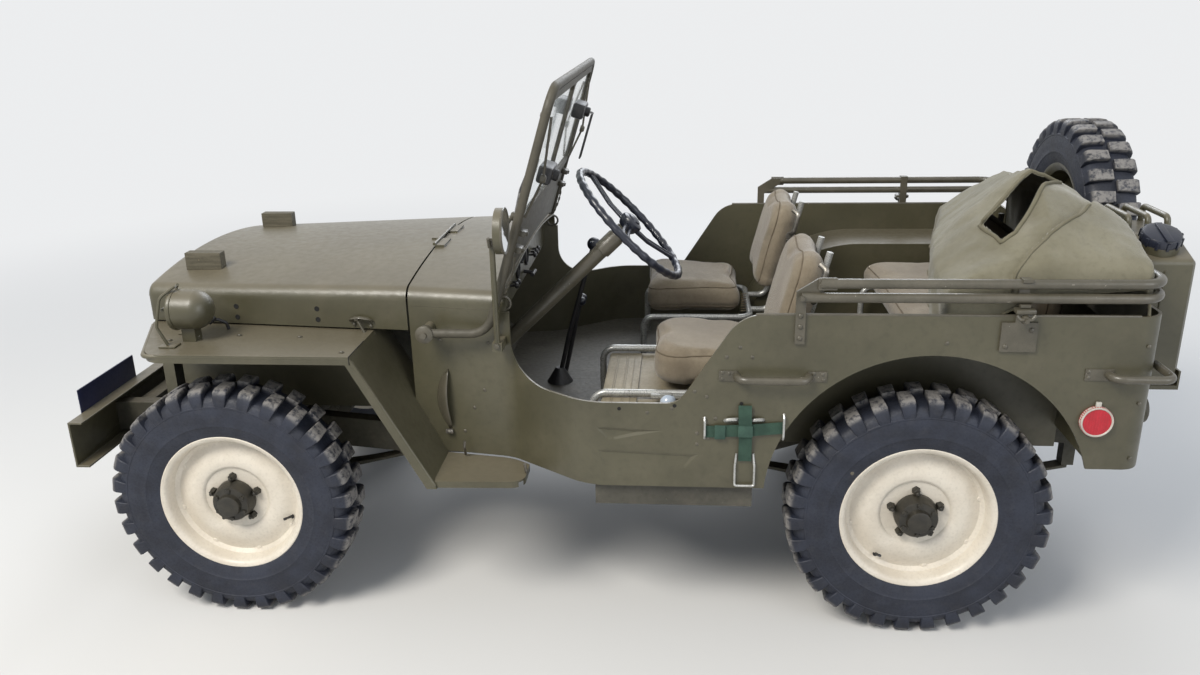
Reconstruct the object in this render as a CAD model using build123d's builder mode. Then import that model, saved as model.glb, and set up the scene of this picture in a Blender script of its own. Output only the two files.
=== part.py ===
# Open army 4x4 car, a quarter-ton field car with a folding windscreen, as separate pieces.
# Lengths are in mm. X runs from nose to tail, Y to the car's right, Z up from the ground.
# A station is a distance along X from the front axle, as on a body drawing.

import os
from math import cos, hypot, pi, radians, sin, sqrt, tan

from build123d import *

# Driving dimensions
WHEELBASE = 2032.0
TRACK = 1245.0
FRONT_OVERHANG = 524.0
TYRE_R = 374.0
TYRE_HALF_W = 82.0
BODY_HALF = 737.0
RAIL_TOP = 1000.0
SEAM = 0.3
MOVING_GAP = 5.0

# Wheels: a ring is made of flat pitches, one for each pair of tread lugs
PITCHES = 24
FIRST_PITCH = 90.0
LUG_H = 22.0
LUG_W = 50.0
BEAD_R = 208.0
BEAD_HALF = 62.0
BEAD_SEAT = 56.0
FLANGE_R = 223.0
FLANGE_T = 6.0
WIDEST_R = 292.0
BARREL_T = 8.0
DISC_T = 8.0
DISC_OUT = 26.0
HUB_HOLE_R = 46.0
HUB_SIDES = 16
HUB_NOSE = 92.0
DRUM_R = 118.0
DRUM_IN = 60.0
SPINDLE_R = 20.0
SPINDLE_OUT = 15.0

# Body of pressed panels
WALL = 8.0
SKIN = 5.0
COWL_FRONT = 548.0
COWL_REAR = 850.0
COWL_HALF = 515.0
WAIST_HALF = 565.0
SHOULDER_Z = 950.0
SILL_Z = 488.0
FLOOR_TOP = 513.0
FLOOR_T = 8.0
REAR_FLOOR_TOP = 612.0
TAIL = WHEELBASE + 568.0
TAIL_CORNER_R = 60.0
TAIL_BOTTOM = 567.0
ARCH_X = WHEELBASE - 7.0
ARCH_Z = 451.0
ARCH_R = 438.5
BACK_WALL = WHEELBASE + 428.0
RISER_X = WHEELBASE - 466.0
HOUSE_HALF = 474.0
HOUSE_TOP = 897.0
HOUSE_WALL = 6.0

# Hood and its crown
NOSE = -305.0
NOSE_HALF = 430.0
HOOD_BOTTOM = 874.0
NOSE_TOP = 1024.0
COWL_TOP = 1040.0
CROWN_DROP = 42.0
CORNER_R = 42.0
HOOD_GAP = 6.0
HINGE_X = COWL_FRONT - HOOD_GAP / 2
HINGE_Z = COWL_TOP + 8.0
HINGE_R = 5.0
HINGE_SPAN = 100.0

# Fenders
FENDER_TOP = 868.0
FENDER_T = 5.0
FENDER_LIP = 24.0
STEP_TOP = 483.0

# Chassis
RAIL_OUT = 371.0
RAIL_W = 45.0
RAIL_H = 100.0
RAIL_WALL = 6.0
RAIL_FRONT_Z = 465.0
RAIL_MID_Z = 405.0
RAIL_REAR_Z = 504.0
RAIL_TAIL_Z = 470.0
BUMPER_FACE = -520.0
BUMPER_LOW = 450.0
BUMPER_HIGH = 600.0
BUMPER_HALF = 620.0
BUMPER_DEPTH = 45.0
BUMPER_MID = (BUMPER_LOW + BUMPER_HIGH) / 2
BOLT_STEP = 60.0
BOLT_R = 6.5
PLATE_T = 4.0

# Axles and steering
AXLE_R = 36.0
DIFF_Y = 190.0
DIFF_R = 105.0
KINGPIN_Y = 500.0
KINGPIN_R = 12.0
KNUCKLE_HALF_H = 55.0
EAR_T = 14.0
ARM_REACH = 150.0
TIE_Z = 392.0
TIE_R = 12.0
TIE_EYE_H = 30.0
TIE_PIN_R = 9.0
STEER_Y = -370.0
STEER_HUB_X = 1200.0
STEER_HUB_Z = 1165.0
STEER_RISE = 43.8
STEER_R = 219.0
COLUMN_R = 20.0

# Drive train
RADIATOR_X = -258.0
ENGINE_REAR = 460.0
TRANSFER_FRONT = 800.0
TRANSFER_REAR = 960.0
SHAFT_R = 25.0
SHAFT_REAR_Z = 400.0
SHAFT_GAP = 1.3

# Windscreen
PIVOT_X = 614.0
PIVOT_Z = 890.0
PIVOT_PIN_R = 8.0
FRAME_HALF = 590.0
TUBE_R = 13.0
ELBOW_X = 798.0
FRAME_TOP_X = 1012.0
FRAME_TOP_Z = 1578.0

# Spare wheel, can and seats
SPARE_Y = 320.0
SPARE_Z = 1000.0
CARRIER_DEPTH = 50.0
CAN_W = 345.0
CAN_H = 470.0
CAN_D = 165.0
CAN_Y = -300.0
CAN_Z = 710.0
SEAT_Y = 365.0

REAR_OVERHANG = TAIL - WHEELBASE + CARRIER_DEPTH + 2 * TYRE_HALF_W
FRONT_X = FRONT_OVERHANG - (FRONT_OVERHANG + WHEELBASE + REAR_OVERHANG) / 2
LEFT_AND_RIGHT = (-1, 1)

BODY = Plane(origin=(FRONT_X, 0, 0))
SIDE = Plane(origin=(FRONT_X, 0, 0), x_dir=(1, 0, 0), z_dir=(0, -1, 0))
os.makedirs("parts", exist_ok=True)


def across(station):
    """The upright plane across the car at a station, drawn as (Y, Z) and facing the tail."""
    return Plane(origin=(FRONT_X + station, 0, 0), x_dir=(0, 1, 0), z_dir=(1, 0, 0))


def save(builder, name):
    """Label a finished piece and write it."""
    builder.part.label = name
    export_step(builder.part, f"parts/{name}.step")


def block(x0, x1, y0, y1, z0, z1, mode=Mode.ADD):
    """A plain block between two stations, two widths and two heights."""
    with Locations(((x0 + x1) / 2, (y0 + y1) / 2, (z0 + z1) / 2)):
        Box(x1 - x0, abs(y1 - y0), z1 - z0, mode=mode)


def tube(points, radius, bends=0.0, mode=Mode.ADD):
    """A round tube along a route, with its corners bent to a radius."""
    with BuildLine(BODY) as route:
        if bends:
            FilletPolyline(*points, radius=bends)
        else:
            Polyline(*points)
    with BuildSketch(Plane(origin=route.line @ 0, z_dir=route.line % 0)) as end:
        Circle(radius)
    sweep(end.sketch, path=route.wire(), mode=mode)


def outline(rows):
    """A closed outline from rows of (across, up, corner radius)."""
    with BuildLine() as edge:
        FilletPolyline(*[row[:2] for row in rows], radius=[row[2] for row in rows], close=True)
    make_face(edge.edges())


def slope(station, first, last, start, end):
    """A value that runs straight from start to end between two stations."""
    return start + (end - start) * (station - first) / (last - first)


def ring(profile, pitches):
    """A ring about Z made of flat pitches, from its half section of (radius, height)."""
    half = pi / pitches
    reach = max(radius for radius, _ in profile)
    with BuildPart() as pitch:
        with BuildSketch(Plane.XZ):
            with BuildLine():
                Polyline(*profile, close=True)
            make_face()
        extrude(amount=reach * tan(half), both=True)
        for side in LEFT_AND_RIGHT:
            split(bisect_by=Plane(origin=(0, 0, 0), z_dir=(-sin(half), side * cos(half), 0)), keep=Keep.BOTTOM)
    with BuildPart() as whole:
        with PolarLocations(0, pitches, start_angle=FIRST_PITCH):
            add(pitch.part)
    return whole.part


# Tyre carcass and its two rows of lugs, half a pitch apart
CARCASS = TYRE_R - LUG_H
tyre_section = [
    (BEAD_R, -BEAD_SEAT), (WIDEST_R, -TYRE_HALF_W), (CARCASS - 8, -TYRE_HALF_W + 6),
    (CARCASS - 8, TYRE_HALF_W - 6), (WIDEST_R, TYRE_HALF_W), (BEAD_R, BEAD_SEAT)]
lug_section = [(CARCASS - 14, 8), (TYRE_R, 8), (TYRE_R, TYRE_HALF_W - 12), (CARCASS - 14, TYRE_HALF_W - 9)]
lug_rows = []
for row in LEFT_AND_RIGHT:
    with BuildPart() as lug:
        with BuildSketch(Plane.XZ):
            with BuildLine():
                Polyline(*[(radius, row * height) for radius, height in lug_section], close=True)
            make_face()
        extrude(amount=LUG_W / 2, both=True)
    lug_rows.append((lug.part, FIRST_PITCH + (0 if row < 0 else 180 / PITCHES)))
with BuildPart() as tyre_shape:
    add(ring(tyre_section, PITCHES))
    for lug_part, start in lug_rows:
        with PolarLocations(0, PITCHES, start_angle=start):
            add(lug_part)

# Rim: barrel, two flanges and the dished disc, with the outer face toward +Z
BARREL_R = BEAD_R - BARREL_T
FLANGE_OUT = BEAD_HALF + FLANGE_T
rim_section = [
    (BEAD_R, -BEAD_HALF), (FLANGE_R, -BEAD_HALF), (FLANGE_R, -FLANGE_OUT), (BARREL_R, -FLANGE_OUT),
    (BARREL_R, 0), (128, DISC_OUT), (HUB_HOLE_R, DISC_OUT), (HUB_HOLE_R, DISC_OUT + DISC_T),
    (128, DISC_OUT + DISC_T), (BARREL_R, DISC_T), (BARREL_R, FLANGE_OUT), (FLANGE_R, FLANGE_OUT),
    (FLANGE_R, BEAD_HALF), (BEAD_R, BEAD_HALF)]
rim_shape = ring(rim_section, PITCHES)

# Hub with brake drum behind the disc and drive flange in front of it
hub_section = [
    (SPINDLE_R + SEAM, -DRUM_IN), (DRUM_R, -DRUM_IN), (DRUM_R, 4), (84, DISC_OUT - SEAM),
    (HUB_HOLE_R - 4, DISC_OUT - SEAM), (HUB_HOLE_R - 4, 62), (56, 62), (56, 78), (28, 82), (28, HUB_NOSE),
    (0, HUB_NOSE), (0, SPINDLE_OUT + 5), (SPINDLE_R + SEAM, SPINDLE_OUT + 5)]
hub_shape = ring(hub_section, HUB_SIDES)

WHEELS = [("front_left", 0, -1), ("front_right", 0, 1), ("rear_left", WHEELBASE, -1), ("rear_right", WHEELBASE, 1)]
for name, station, side in WHEELS:
    for kind, shape in (("tyre", tyre_shape.part), ("rim", rim_shape), ("hub", hub_shape)):
        with BuildPart() as wheel_piece:
            with Locations(Location((FRONT_X + station, side * TRACK / 2, TYRE_R), (-90 * side, 0, 0))):
                add(shape)
        save(wheel_piece, f"{kind}_{name}")

# Spare wheel, its axle along the car, disc toward the tail
SPARE_X = TAIL + CARRIER_DEPTH + TYRE_HALF_W
for kind, shape in (("spare_tyre", tyre_shape.part), ("spare_rim", rim_shape)):
    with BuildPart() as spare_piece:
        with Locations(Location((FRONT_X + SPARE_X, SPARE_Y, SPARE_Z), (0, 90, 0))):
            add(shape)
    save(spare_piece, kind)

# Chassis: two channel rails, cross members and the tail member
rail_low = [
    (BUMPER_FACE + RAIL_WALL, RAIL_FRONT_Z), (-200, RAIL_FRONT_Z), (450, RAIL_MID_Z),
    (RISER_X + 4, RAIL_MID_Z), (WHEELBASE - 160, RAIL_REAR_Z), (WHEELBASE + 218, RAIL_REAR_Z),
    (TAIL - 40, RAIL_TAIL_Z)]
def rail_height(station):
    """The underside of the rails at a station."""
    for (first, start), (last, end) in zip(rail_low, rail_low[1:]):
        if station <= last:
            return slope(station, first, last, start, end)
    return rail_low[-1][1]


rail_side = rail_low + [(x, z + RAIL_H) for x, z in reversed(rail_low)]
rail_pocket = [(x, z + RAIL_WALL) for x, z in rail_low]
rail_pocket += [(x, z + RAIL_H - RAIL_WALL) for x, z in reversed(rail_low)]
SPRINGS = [(0, 454), (WHEELBASE, 520)]
SPRING_EYE_Z = 398.0
HANGER_HALF = 18.0
BUMPERETTE_Y = 420.0
TOW_Z = 527.0
TOW_OUT = 55.0
TOW_RING_R = 28.0

# Columns are station, depth, underside and height
CROSS_MEMBERS = [
    (-470, 50, 480, 70), (RADIATOR_X, 58, 475, RAIL_FRONT_Z + RAIL_H - 475), (TRANSFER_REAR + SEAM, 80, 440, 60),
    (WHEELBASE - 60, 70, 522, 80), (TAIL - 110, 70, 482, 90)]
with BuildPart(BODY) as chassis:
    for side in LEFT_AND_RIGHT:
        with BuildSketch(SIDE.offset(-side * (RAIL_OUT - RAIL_W / 2))):
            with BuildLine():
                Polyline(*rail_side, close=True)
            make_face()
        extrude(amount=RAIL_W / 2, both=True)
        with BuildSketch(SIDE.offset(-side * (RAIL_OUT - RAIL_W / 2 - RAIL_WALL))):
            with BuildLine():
                Polyline(*rail_pocket, close=True)
            make_face()
        extrude(amount=RAIL_W / 2, both=True, mode=Mode.SUBTRACT)
    for station, depth, low, high in CROSS_MEMBERS:
        block(station, station + depth, -RAIL_OUT + 3, RAIL_OUT - 3, low, low + high)
    for axle, half in SPRINGS:
        for eye in (axle - half, axle + half):
            for side in LEFT_AND_RIGHT:
                foot = rail_height(eye)
                block(eye - HANGER_HALF, eye + HANGER_HALF, side * (RAIL_OUT - RAIL_W), side * (RAIL_OUT - 2),
                      SPRING_EYE_Z + SEAM, foot + RAIL_WALL)
    for side in LEFT_AND_RIGHT:
        with BuildSketch(across(TAIL + SEAM)):
            with Locations((side * BUMPERETTE_Y, 560)):
                RectangleRounded(150, 130, 12)
        extrude(amount=45)
        block(TAIL - 60, TAIL + 10, side * (RAIL_OUT - RAIL_W), side * (RAIL_OUT - 2), 500, TAIL_BOTTOM - SEAM)
    block(TAIL - 42, TAIL - 30, -60, 60, TOW_Z - 38, TOW_Z + 38)
    with Locations(Location((TAIL - 35, 0, TOW_Z), (0, 90, 0))):
        Cylinder(TOW_RING_R * 0.6, 35 + TOW_OUT - TOW_RING_R, align=(Align.CENTER, Align.CENTER, Align.MIN))
    with Locations(Location((TAIL + TOW_OUT, 0, TOW_Z), (90, 0, 0))):
        Torus(TOW_RING_R, 10)
save(chassis, "chassis_frame")

# Front bumper, a channel open to the rear, and the blank plate on its left end
with BuildPart(BODY) as bumper:
    block(BUMPER_FACE, BUMPER_FACE + BUMPER_DEPTH, -BUMPER_HALF, BUMPER_HALF, BUMPER_LOW, BUMPER_HIGH)
    block(BUMPER_FACE + RAIL_WALL, BUMPER_FACE + BUMPER_DEPTH, -BUMPER_HALF, BUMPER_HALF,
          BUMPER_LOW + RAIL_WALL, BUMPER_HIGH - RAIL_WALL, Mode.SUBTRACT)
    for side in LEFT_AND_RIGHT:
        for z in (BUMPER_MID - BOLT_STEP / 2, BUMPER_MID + BOLT_STEP / 2):
            with Locations(Location((BUMPER_FACE, side * (RAIL_OUT - RAIL_W / 2), z), (0, 90, 0))):
                Cylinder(BOLT_R, 3 * RAIL_WALL, mode=Mode.SUBTRACT)
save(bumper, "front_bumper")

with BuildPart(BODY) as plate:
    block(BUMPER_FACE - PLATE_T, BUMPER_FACE, -540, -215, 550, 675)
save(plate, "front_plate")

# Leaf springs under the axles, each a stack with its shortest leaf lowest, and the damper that stands on it
SPRING_IN = 323.0
SPRING_W = 44.0
SPRING_LOW = 296.0
DAMPER_Y = 400.0
DAMPER_R = 20.0
DAMPERS = [(60, 110), (WHEELBASE - 60, WHEELBASE - 110)]
with BuildPart(BODY) as springs:
    for station, half in SPRINGS:
        for side in LEFT_AND_RIGHT:
            with BuildSketch(SIDE.offset(-side * (SPRING_IN + SPRING_W / 2))):
                with BuildLine():
                    top = ThreePointArc((station - half, SPRING_EYE_Z), (station, TYRE_R - AXLE_R),
                                        (station + half, SPRING_EYE_Z))
                    Line(top @ 1, (station + half, SPRING_EYE_Z - 9))
                    Line((station + half, SPRING_EYE_Z - 9), (station + 70, SPRING_LOW))
                    Line((station + 70, SPRING_LOW), (station - 70, SPRING_LOW))
                    Line((station - 70, SPRING_LOW), (station - half, SPRING_EYE_Z - 9))
                    Line((station - half, SPRING_EYE_Z - 9), top @ 0)
                make_face()
            extrude(amount=SPRING_W / 2, both=True)
    for foot, head in DAMPERS:
        head_z = rail_height(head) + RAIL_H / 2
        foot_z = SPRING_LOW + 14
        for side in LEFT_AND_RIGHT:
            y = side * DAMPER_Y
            tube([(foot, y, foot_z), (head, y, head_z)], DAMPER_R)
            tube([((foot + head) / 2, y, (foot_z + head_z) / 2), (head, y, head_z)], DAMPER_R + 5)
            tube([(foot, side * (SPRING_IN + SPRING_W / 2), foot_z), (foot, y, foot_z)], 9)
            tube([(head, side * (RAIL_OUT + SEAM), head_z), (head, y, head_z)], 12)
save(springs, "leaf_springs")


def spindle(side, station):
    """The shaft that carries a wheel's hub, out from the back plate."""
    first, last = TRACK / 2 - DRUM_IN - 10, TRACK / 2 + SPINDLE_OUT
    with Locations(Location((station, side * (first + last) / 2, TYRE_R), (90, 0, 0))):
        Cylinder(SPINDLE_R, last - first)


# Axles: a tube with an offset differential housing
KNUCKLE_Z = TYRE_R
with BuildPart(BODY) as front_axle:
    with Locations(Location((0, 0, TYRE_R), (90, 0, 0))):
        Cylinder(AXLE_R, 2 * 432)
    with Locations(Location((0, DIFF_Y, TYRE_R), (90, 0, 0))):
        Cylinder(DIFF_R, 90)
        Cylinder(62, 180)
    for side in LEFT_AND_RIGHT:
        block(-32, 32, side * 430, side * 446, KNUCKLE_Z - KNUCKLE_HALF_H - EAR_T, KNUCKLE_Z + KNUCKLE_HALF_H + EAR_T)
        for up in LEFT_AND_RIGHT:
            ear = KNUCKLE_Z + up * (KNUCKLE_HALF_H + EAR_T / 2)
            block(-32, 32, side * 446, side * 528, ear - EAR_T / 2 + SEAM * (up > 0), ear + EAR_T / 2 - SEAM * (up < 0))
            with Locations((0, side * KINGPIN_Y, ear)):
                Cylinder(KINGPIN_R + SEAM, 2 * EAR_T, mode=Mode.SUBTRACT)
save(front_axle, "front_axle")

with BuildPart(BODY) as rear_axle:
    with Locations(Location((WHEELBASE, 0, TYRE_R), (90, 0, 0))):
        Cylinder(AXLE_R, 2 * (TRACK / 2 - DRUM_IN - 2))
    with Locations(Location((WHEELBASE, DIFF_Y, TYRE_R), (90, 0, 0))):
        Cylinder(DIFF_R, 90)
        Cylinder(62, 180)
    for side in LEFT_AND_RIGHT:
        with Locations(Location((WHEELBASE, side * (TRACK / 2 - DRUM_IN - 6), TYRE_R), (90, 0, 0))):
            Cylinder(112, 8)
        spindle(side, WHEELBASE)
save(rear_axle, "rear_axle")

# Steering knuckles: block between the axle's ears, pin, back plate and the arm to the tie rod
for name, side in (("left", -1), ("right", 1)):
    with BuildPart(BODY) as knuckle:
        block(-34, 34, side * (KINGPIN_Y - 28), side * (KINGPIN_Y + 30),
              KNUCKLE_Z - KNUCKLE_HALF_H, KNUCKLE_Z + KNUCKLE_HALF_H)
        with Locations((0, side * KINGPIN_Y, KNUCKLE_Z)):
            Cylinder(KINGPIN_R, 2 * (KNUCKLE_HALF_H + EAR_T))
        with Locations(Location((0, side * (TRACK / 2 - DRUM_IN - 6), KNUCKLE_Z), (90, 0, 0))):
            Cylinder(112, 8)
        with Locations(Location((0, side * (KINGPIN_Y + 40), KNUCKLE_Z), (90, 0, 0))):
            Cylinder(48, 36)
        spindle(side, 0)
        arm_top = TIE_Z - TIE_EYE_H / 2 - SEAM
        block(-ARM_REACH - 20, -30, side * (KINGPIN_Y - 14), side * (KINGPIN_Y + 14), arm_top - 14, arm_top)
        with Locations((-ARM_REACH, side * KINGPIN_Y, TIE_Z)):
            Cylinder(TIE_PIN_R, TIE_EYE_H + 10)
    save(knuckle, f"knuckle_{name}")

with BuildPart(BODY) as tie_rod:
    tube([(-ARM_REACH, -KINGPIN_Y + 15, TIE_Z), (-ARM_REACH, KINGPIN_Y - 15, TIE_Z)], TIE_R)
    for side in LEFT_AND_RIGHT:
        with Locations((-ARM_REACH, side * KINGPIN_Y, TIE_Z)):
            Cylinder(20, TIE_EYE_H)
            Cylinder(TIE_PIN_R + SEAM, TIE_EYE_H + 2, mode=Mode.SUBTRACT)
save(tie_rod, "tie_rod")

# Engine block as one plain mass, radiator, gearbox with transfer box, and the shafts
with BuildPart(BODY) as engine:
    with BuildSketch(SIDE.offset(-10)):
        with BuildLine():
            Polyline((-120, 600), (-120, 860), (ENGINE_REAR, 860), (ENGINE_REAR, 500), (200, 470), (60, 520),
                     close=True)
        make_face()
    extrude(amount=140, both=True)
save(engine, "engine_block")

with BuildPart(BODY) as radiator:
    block(RADIATOR_X, RADIATOR_X + 58, -230, 230, RAIL_FRONT_Z + RAIL_H, 940)
save(radiator, "radiator")

with BuildPart(BODY) as gearbox:
    block(ENGINE_REAR + SEAM, TRANSFER_FRONT, -95, 95, 430, FLOOR_TOP - FLOOR_T - 2)
    block(TRANSFER_FRONT, TRANSFER_REAR, -110, 250, 320, 480)
save(gearbox, "gearbox")

SHAFTS = [
    (DIFF_R + SHAFT_GAP, TYRE_R, TRANSFER_FRONT - SHAFT_GAP, SHAFT_REAR_Z),
    (TRANSFER_REAR + SHAFT_GAP, SHAFT_REAR_Z, WHEELBASE - DIFF_R - SHAFT_GAP, TYRE_R)]
with BuildPart(BODY) as shafts:
    for start, start_z, end, end_z in SHAFTS:
        tube([(start, DIFF_Y, start_z), (end, DIFF_Y, end_z)], SHAFT_R)
save(shafts, "prop_shafts")

# Exhaust: down from the engine, under the right rail, then the silencer with its hanger
PIPE_Z = 372.0
PIPE_R = 20.0
SILENCER_Y = 490.0
SILENCER_R = 60.0
with BuildPart(BODY) as exhaust:
    tube([(340, 150 + SEAM, 560), (340, 245, 560), (340, 245, PIPE_Z), (480, 245, PIPE_Z), (640, SILENCER_Y, PIPE_Z),
          (900, SILENCER_Y, PIPE_Z + 40)], PIPE_R, 45)
    with Locations(Location((1150, SILENCER_Y, PIPE_Z + 40), (0, 90, 0))):
        Cylinder(SILENCER_R, 510)
    tube([(1400, SILENCER_Y, PIPE_Z + 40), (1560, SILENCER_Y, PIPE_Z + 40)], PIPE_R)
    block(1140, 1160, SILENCER_Y - 15, SILENCER_Y + 15, PIPE_Z + 90, FLOOR_TOP - FLOOR_T)
save(exhaust, "exhaust")

# Fuel tank: it stands in a well under the floor and carries the driver's seat
WELL_FRONT = RISER_X - 454.0
WELL_IN = RAIL_OUT + 6.0
WELL_OUT = BODY_HALF - 20.0
WELL_LOW = 419.0
TANK_TOP = 680.0
TANK_IN = 165.0
with BuildPart(BODY) as fuel_tank:
    block(WELL_FRONT + WALL, RISER_X - 2 * WALL, -WELL_OUT + WALL, -WELL_IN - WALL, WELL_LOW + SKIN, TANK_TOP)
    block(WELL_FRONT + WALL, RISER_X - 2 * WALL, -WELL_OUT + WALL, -TANK_IN, FLOOR_TOP, TANK_TOP)
save(fuel_tank, "fuel_tank")

# Plan of the tub: straight beside the cowl, a reverse curve, then straight to the round tail corners.
# Columns are station, half width and bend radius.
side_plan = [
    (COWL_FRONT, COWL_HALF, 0), (COWL_REAR, WAIST_HALF, 150), (COWL_REAR + 240, BODY_HALF, 190),
    (TAIL, BODY_HALF, TAIL_CORNER_R)]


def tub_plan(inset):
    """The whole tub seen from above, set in from its outer face."""
    outline(side_plan + [(x, -y, bend) for x, y, bend in reversed(side_plan)])
    if inset:
        offset(amount=-inset, mode=Mode.REPLACE)


DOOR_LOW = 742.0
DOOR_FRONT = 860.0
DOOR_REAR_LOW = WHEELBASE - 685.0
DOOR_REAR_TOP = WHEELBASE - 516.0
door_cut = [
    (DOOR_FRONT, RAIL_TOP + 50, 0), (DOOR_FRONT, DOOR_LOW, 120), (DOOR_REAR_LOW, DOOR_LOW, 60),
    (DOOR_REAR_TOP, RAIL_TOP, 110), (DOOR_REAR_TOP + 120, RAIL_TOP, 0), (DOOR_REAR_TOP + 120, RAIL_TOP + 50, 0)]

# Recesses pressed under the door gap. Columns are front, rear, top and bottom, and where the bottom starts and ends.
RECESS_DEPTH = 5.0
RECESS_SLOPE = 65.0
RECESSES = [
    (DOOR_REAR_LOW - 240, DOOR_REAR_LOW - 40, 672, 628, DOOR_REAR_LOW - 200, DOOR_REAR_LOW - 180),
    (DOOR_REAR_LOW - 230, DOOR_REAR_LOW + 60, 602, 542, DOOR_REAR_LOW - 210, DOOR_REAR_LOW + 20)]

for name, side in (("left", -1), ("right", 1)):
    with BuildPart(BODY) as side_panel:
        with BuildSketch(BODY.offset(SILL_Z)):
            tub_plan(0)
        extrude(amount=RAIL_TOP - SILL_Z)
        with BuildSketch(BODY.offset(SILL_Z)):
            tub_plan(WALL)
        extrude(amount=RAIL_TOP - SILL_Z, mode=Mode.SUBTRACT)
        block(COWL_FRONT - 10, TAIL + 10, -side * (BODY_HALF + 10), side * (COWL_HALF - 60), SILL_Z, RAIL_TOP,
              Mode.SUBTRACT)
        block(TAIL - WALL, TAIL + 10, 0, side * (BODY_HALF - TAIL_CORNER_R), SILL_Z, RAIL_TOP, Mode.SUBTRACT)
        with BuildSketch(SIDE):
            outline(door_cut)
        extrude(amount=-side * (BODY_HALF + 20), mode=Mode.SUBTRACT)
        block(COWL_FRONT - 10, DOOR_FRONT + 1, side * (COWL_HALF - 60), side * (BODY_HALF + 10),
              SHOULDER_Z, RAIL_TOP + 10, Mode.SUBTRACT)
        block(COWL_FRONT - 10, COWL_FRONT + WALL, side * (COWL_HALF - 60), side * (COWL_HALF - WALL),
              SILL_Z - 1, RAIL_TOP, Mode.SUBTRACT)
        with BuildSketch(SIDE):
            with Locations((ARCH_X, ARCH_Z)):
                Circle(ARCH_R)
        extrude(amount=-side * (BODY_HALF + 20), mode=Mode.SUBTRACT)
        block(ARCH_X, TAIL + 10, 0, side * (BODY_HALF + 10), SILL_Z - 10, TAIL_BOTTOM, Mode.SUBTRACT)
        for front, rear, high, low, first, last in RECESSES:
            with BuildSketch(SIDE.offset(-side * BODY_HALF)):
                with BuildLine():
                    Polyline((front, high), (rear, high - 12), (last, low), (first, low), close=True)
                make_face()
            extrude(amount=side * RECESS_DEPTH, taper=RECESS_SLOPE, mode=Mode.SUBTRACT)
        pivot_half = slope(PIVOT_X, COWL_FRONT, COWL_REAR, COWL_HALF, WAIST_HALF)
        for radius, first, last in ((16, pivot_half - 5, FRAME_HALF - TUBE_R - SEAM),
                                    (PIVOT_PIN_R, pivot_half, FRAME_HALF + TUBE_R + 5)):
            with Locations(Location((PIVOT_X, side * (first + last) / 2, PIVOT_Z), (90, 0, 0))):
                Cylinder(radius, last - first)
    save(side_panel, f"side_{name}")

with BuildPart(BODY) as rear_panel:
    block(TAIL - WALL, TAIL, -(BODY_HALF - TAIL_CORNER_R), BODY_HALF - TAIL_CORNER_R, TAIL_BOTTOM, RAIL_TOP)
save(rear_panel, "rear_panel")


# Floor: front pan, sloping toe board, riser and the raised load floor
TOE_FRONT = 574.0
TOE_TOP = 650.0
TOE_FOOT = 705.0
TAIL_INNER = TAIL - WALL
INNER_HALF = BODY_HALF - WALL - SEAM
HOUSE_R = HOUSE_TOP - ARCH_Z
house_front = ARCH_X - sqrt(HOUSE_R**2 - (FLOOR_TOP - FLOOR_T - ARCH_Z) ** 2)
with BuildPart(BODY) as floor_pan:
    block(TOE_FOOT, RISER_X, -INNER_HALF, INNER_HALF, FLOOR_TOP - FLOOR_T, FLOOR_TOP)
    block(RISER_X - FLOOR_T, RISER_X, -HOUSE_HALF, HOUSE_HALF, FLOOR_TOP, REAR_FLOOR_TOP)
    block(RISER_X, TAIL_INNER, -HOUSE_HALF, HOUSE_HALF, REAR_FLOOR_TOP - FLOOR_T, REAR_FLOOR_TOP)
    for side in LEFT_AND_RIGHT:
        block(RISER_X, house_front - SEAM, side * HOUSE_HALF, side * INNER_HALF, FLOOR_TOP - FLOOR_T, FLOOR_TOP)
        block(BACK_WALL, TAIL_INNER, side * HOUSE_HALF, side * INNER_HALF, REAR_FLOOR_TOP - FLOOR_T, REAR_FLOOR_TOP)
    with BuildSketch(SIDE):
        with BuildLine():
            Polyline((TOE_FRONT, TOE_TOP), (TOE_FOOT, FLOOR_TOP), (TOE_FOOT, FLOOR_TOP - FLOOR_T),
                     (TOE_FRONT, TOE_TOP - FLOOR_T), close=True)
        make_face()
    extrude(amount=INNER_HALF, both=True)
    with BuildSketch(BODY.offset(SILL_Z)):
        tub_plan(WALL + SEAM)
    extrude(amount=RAIL_TOP - SILL_Z, mode=Mode.INTERSECT)
    block(WELL_FRONT, RISER_X - WALL, -WELL_OUT, -WELL_IN, WELL_LOW, FLOOR_TOP)
    block(WELL_FRONT + SKIN, RISER_X - WALL - SKIN, -WELL_OUT + SKIN, -WELL_IN - SKIN, WELL_LOW + SKIN, FLOOR_TOP,
          Mode.SUBTRACT)
    with Locations(Location((STEER_HUB_X, STEER_Y, STEER_HUB_Z), (0, 90 - STEER_RISE, 0))):
        Cylinder(COLUMN_R + MOVING_GAP, 2000, mode=Mode.SUBTRACT)
save(floor_pan, "floor")


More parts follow.
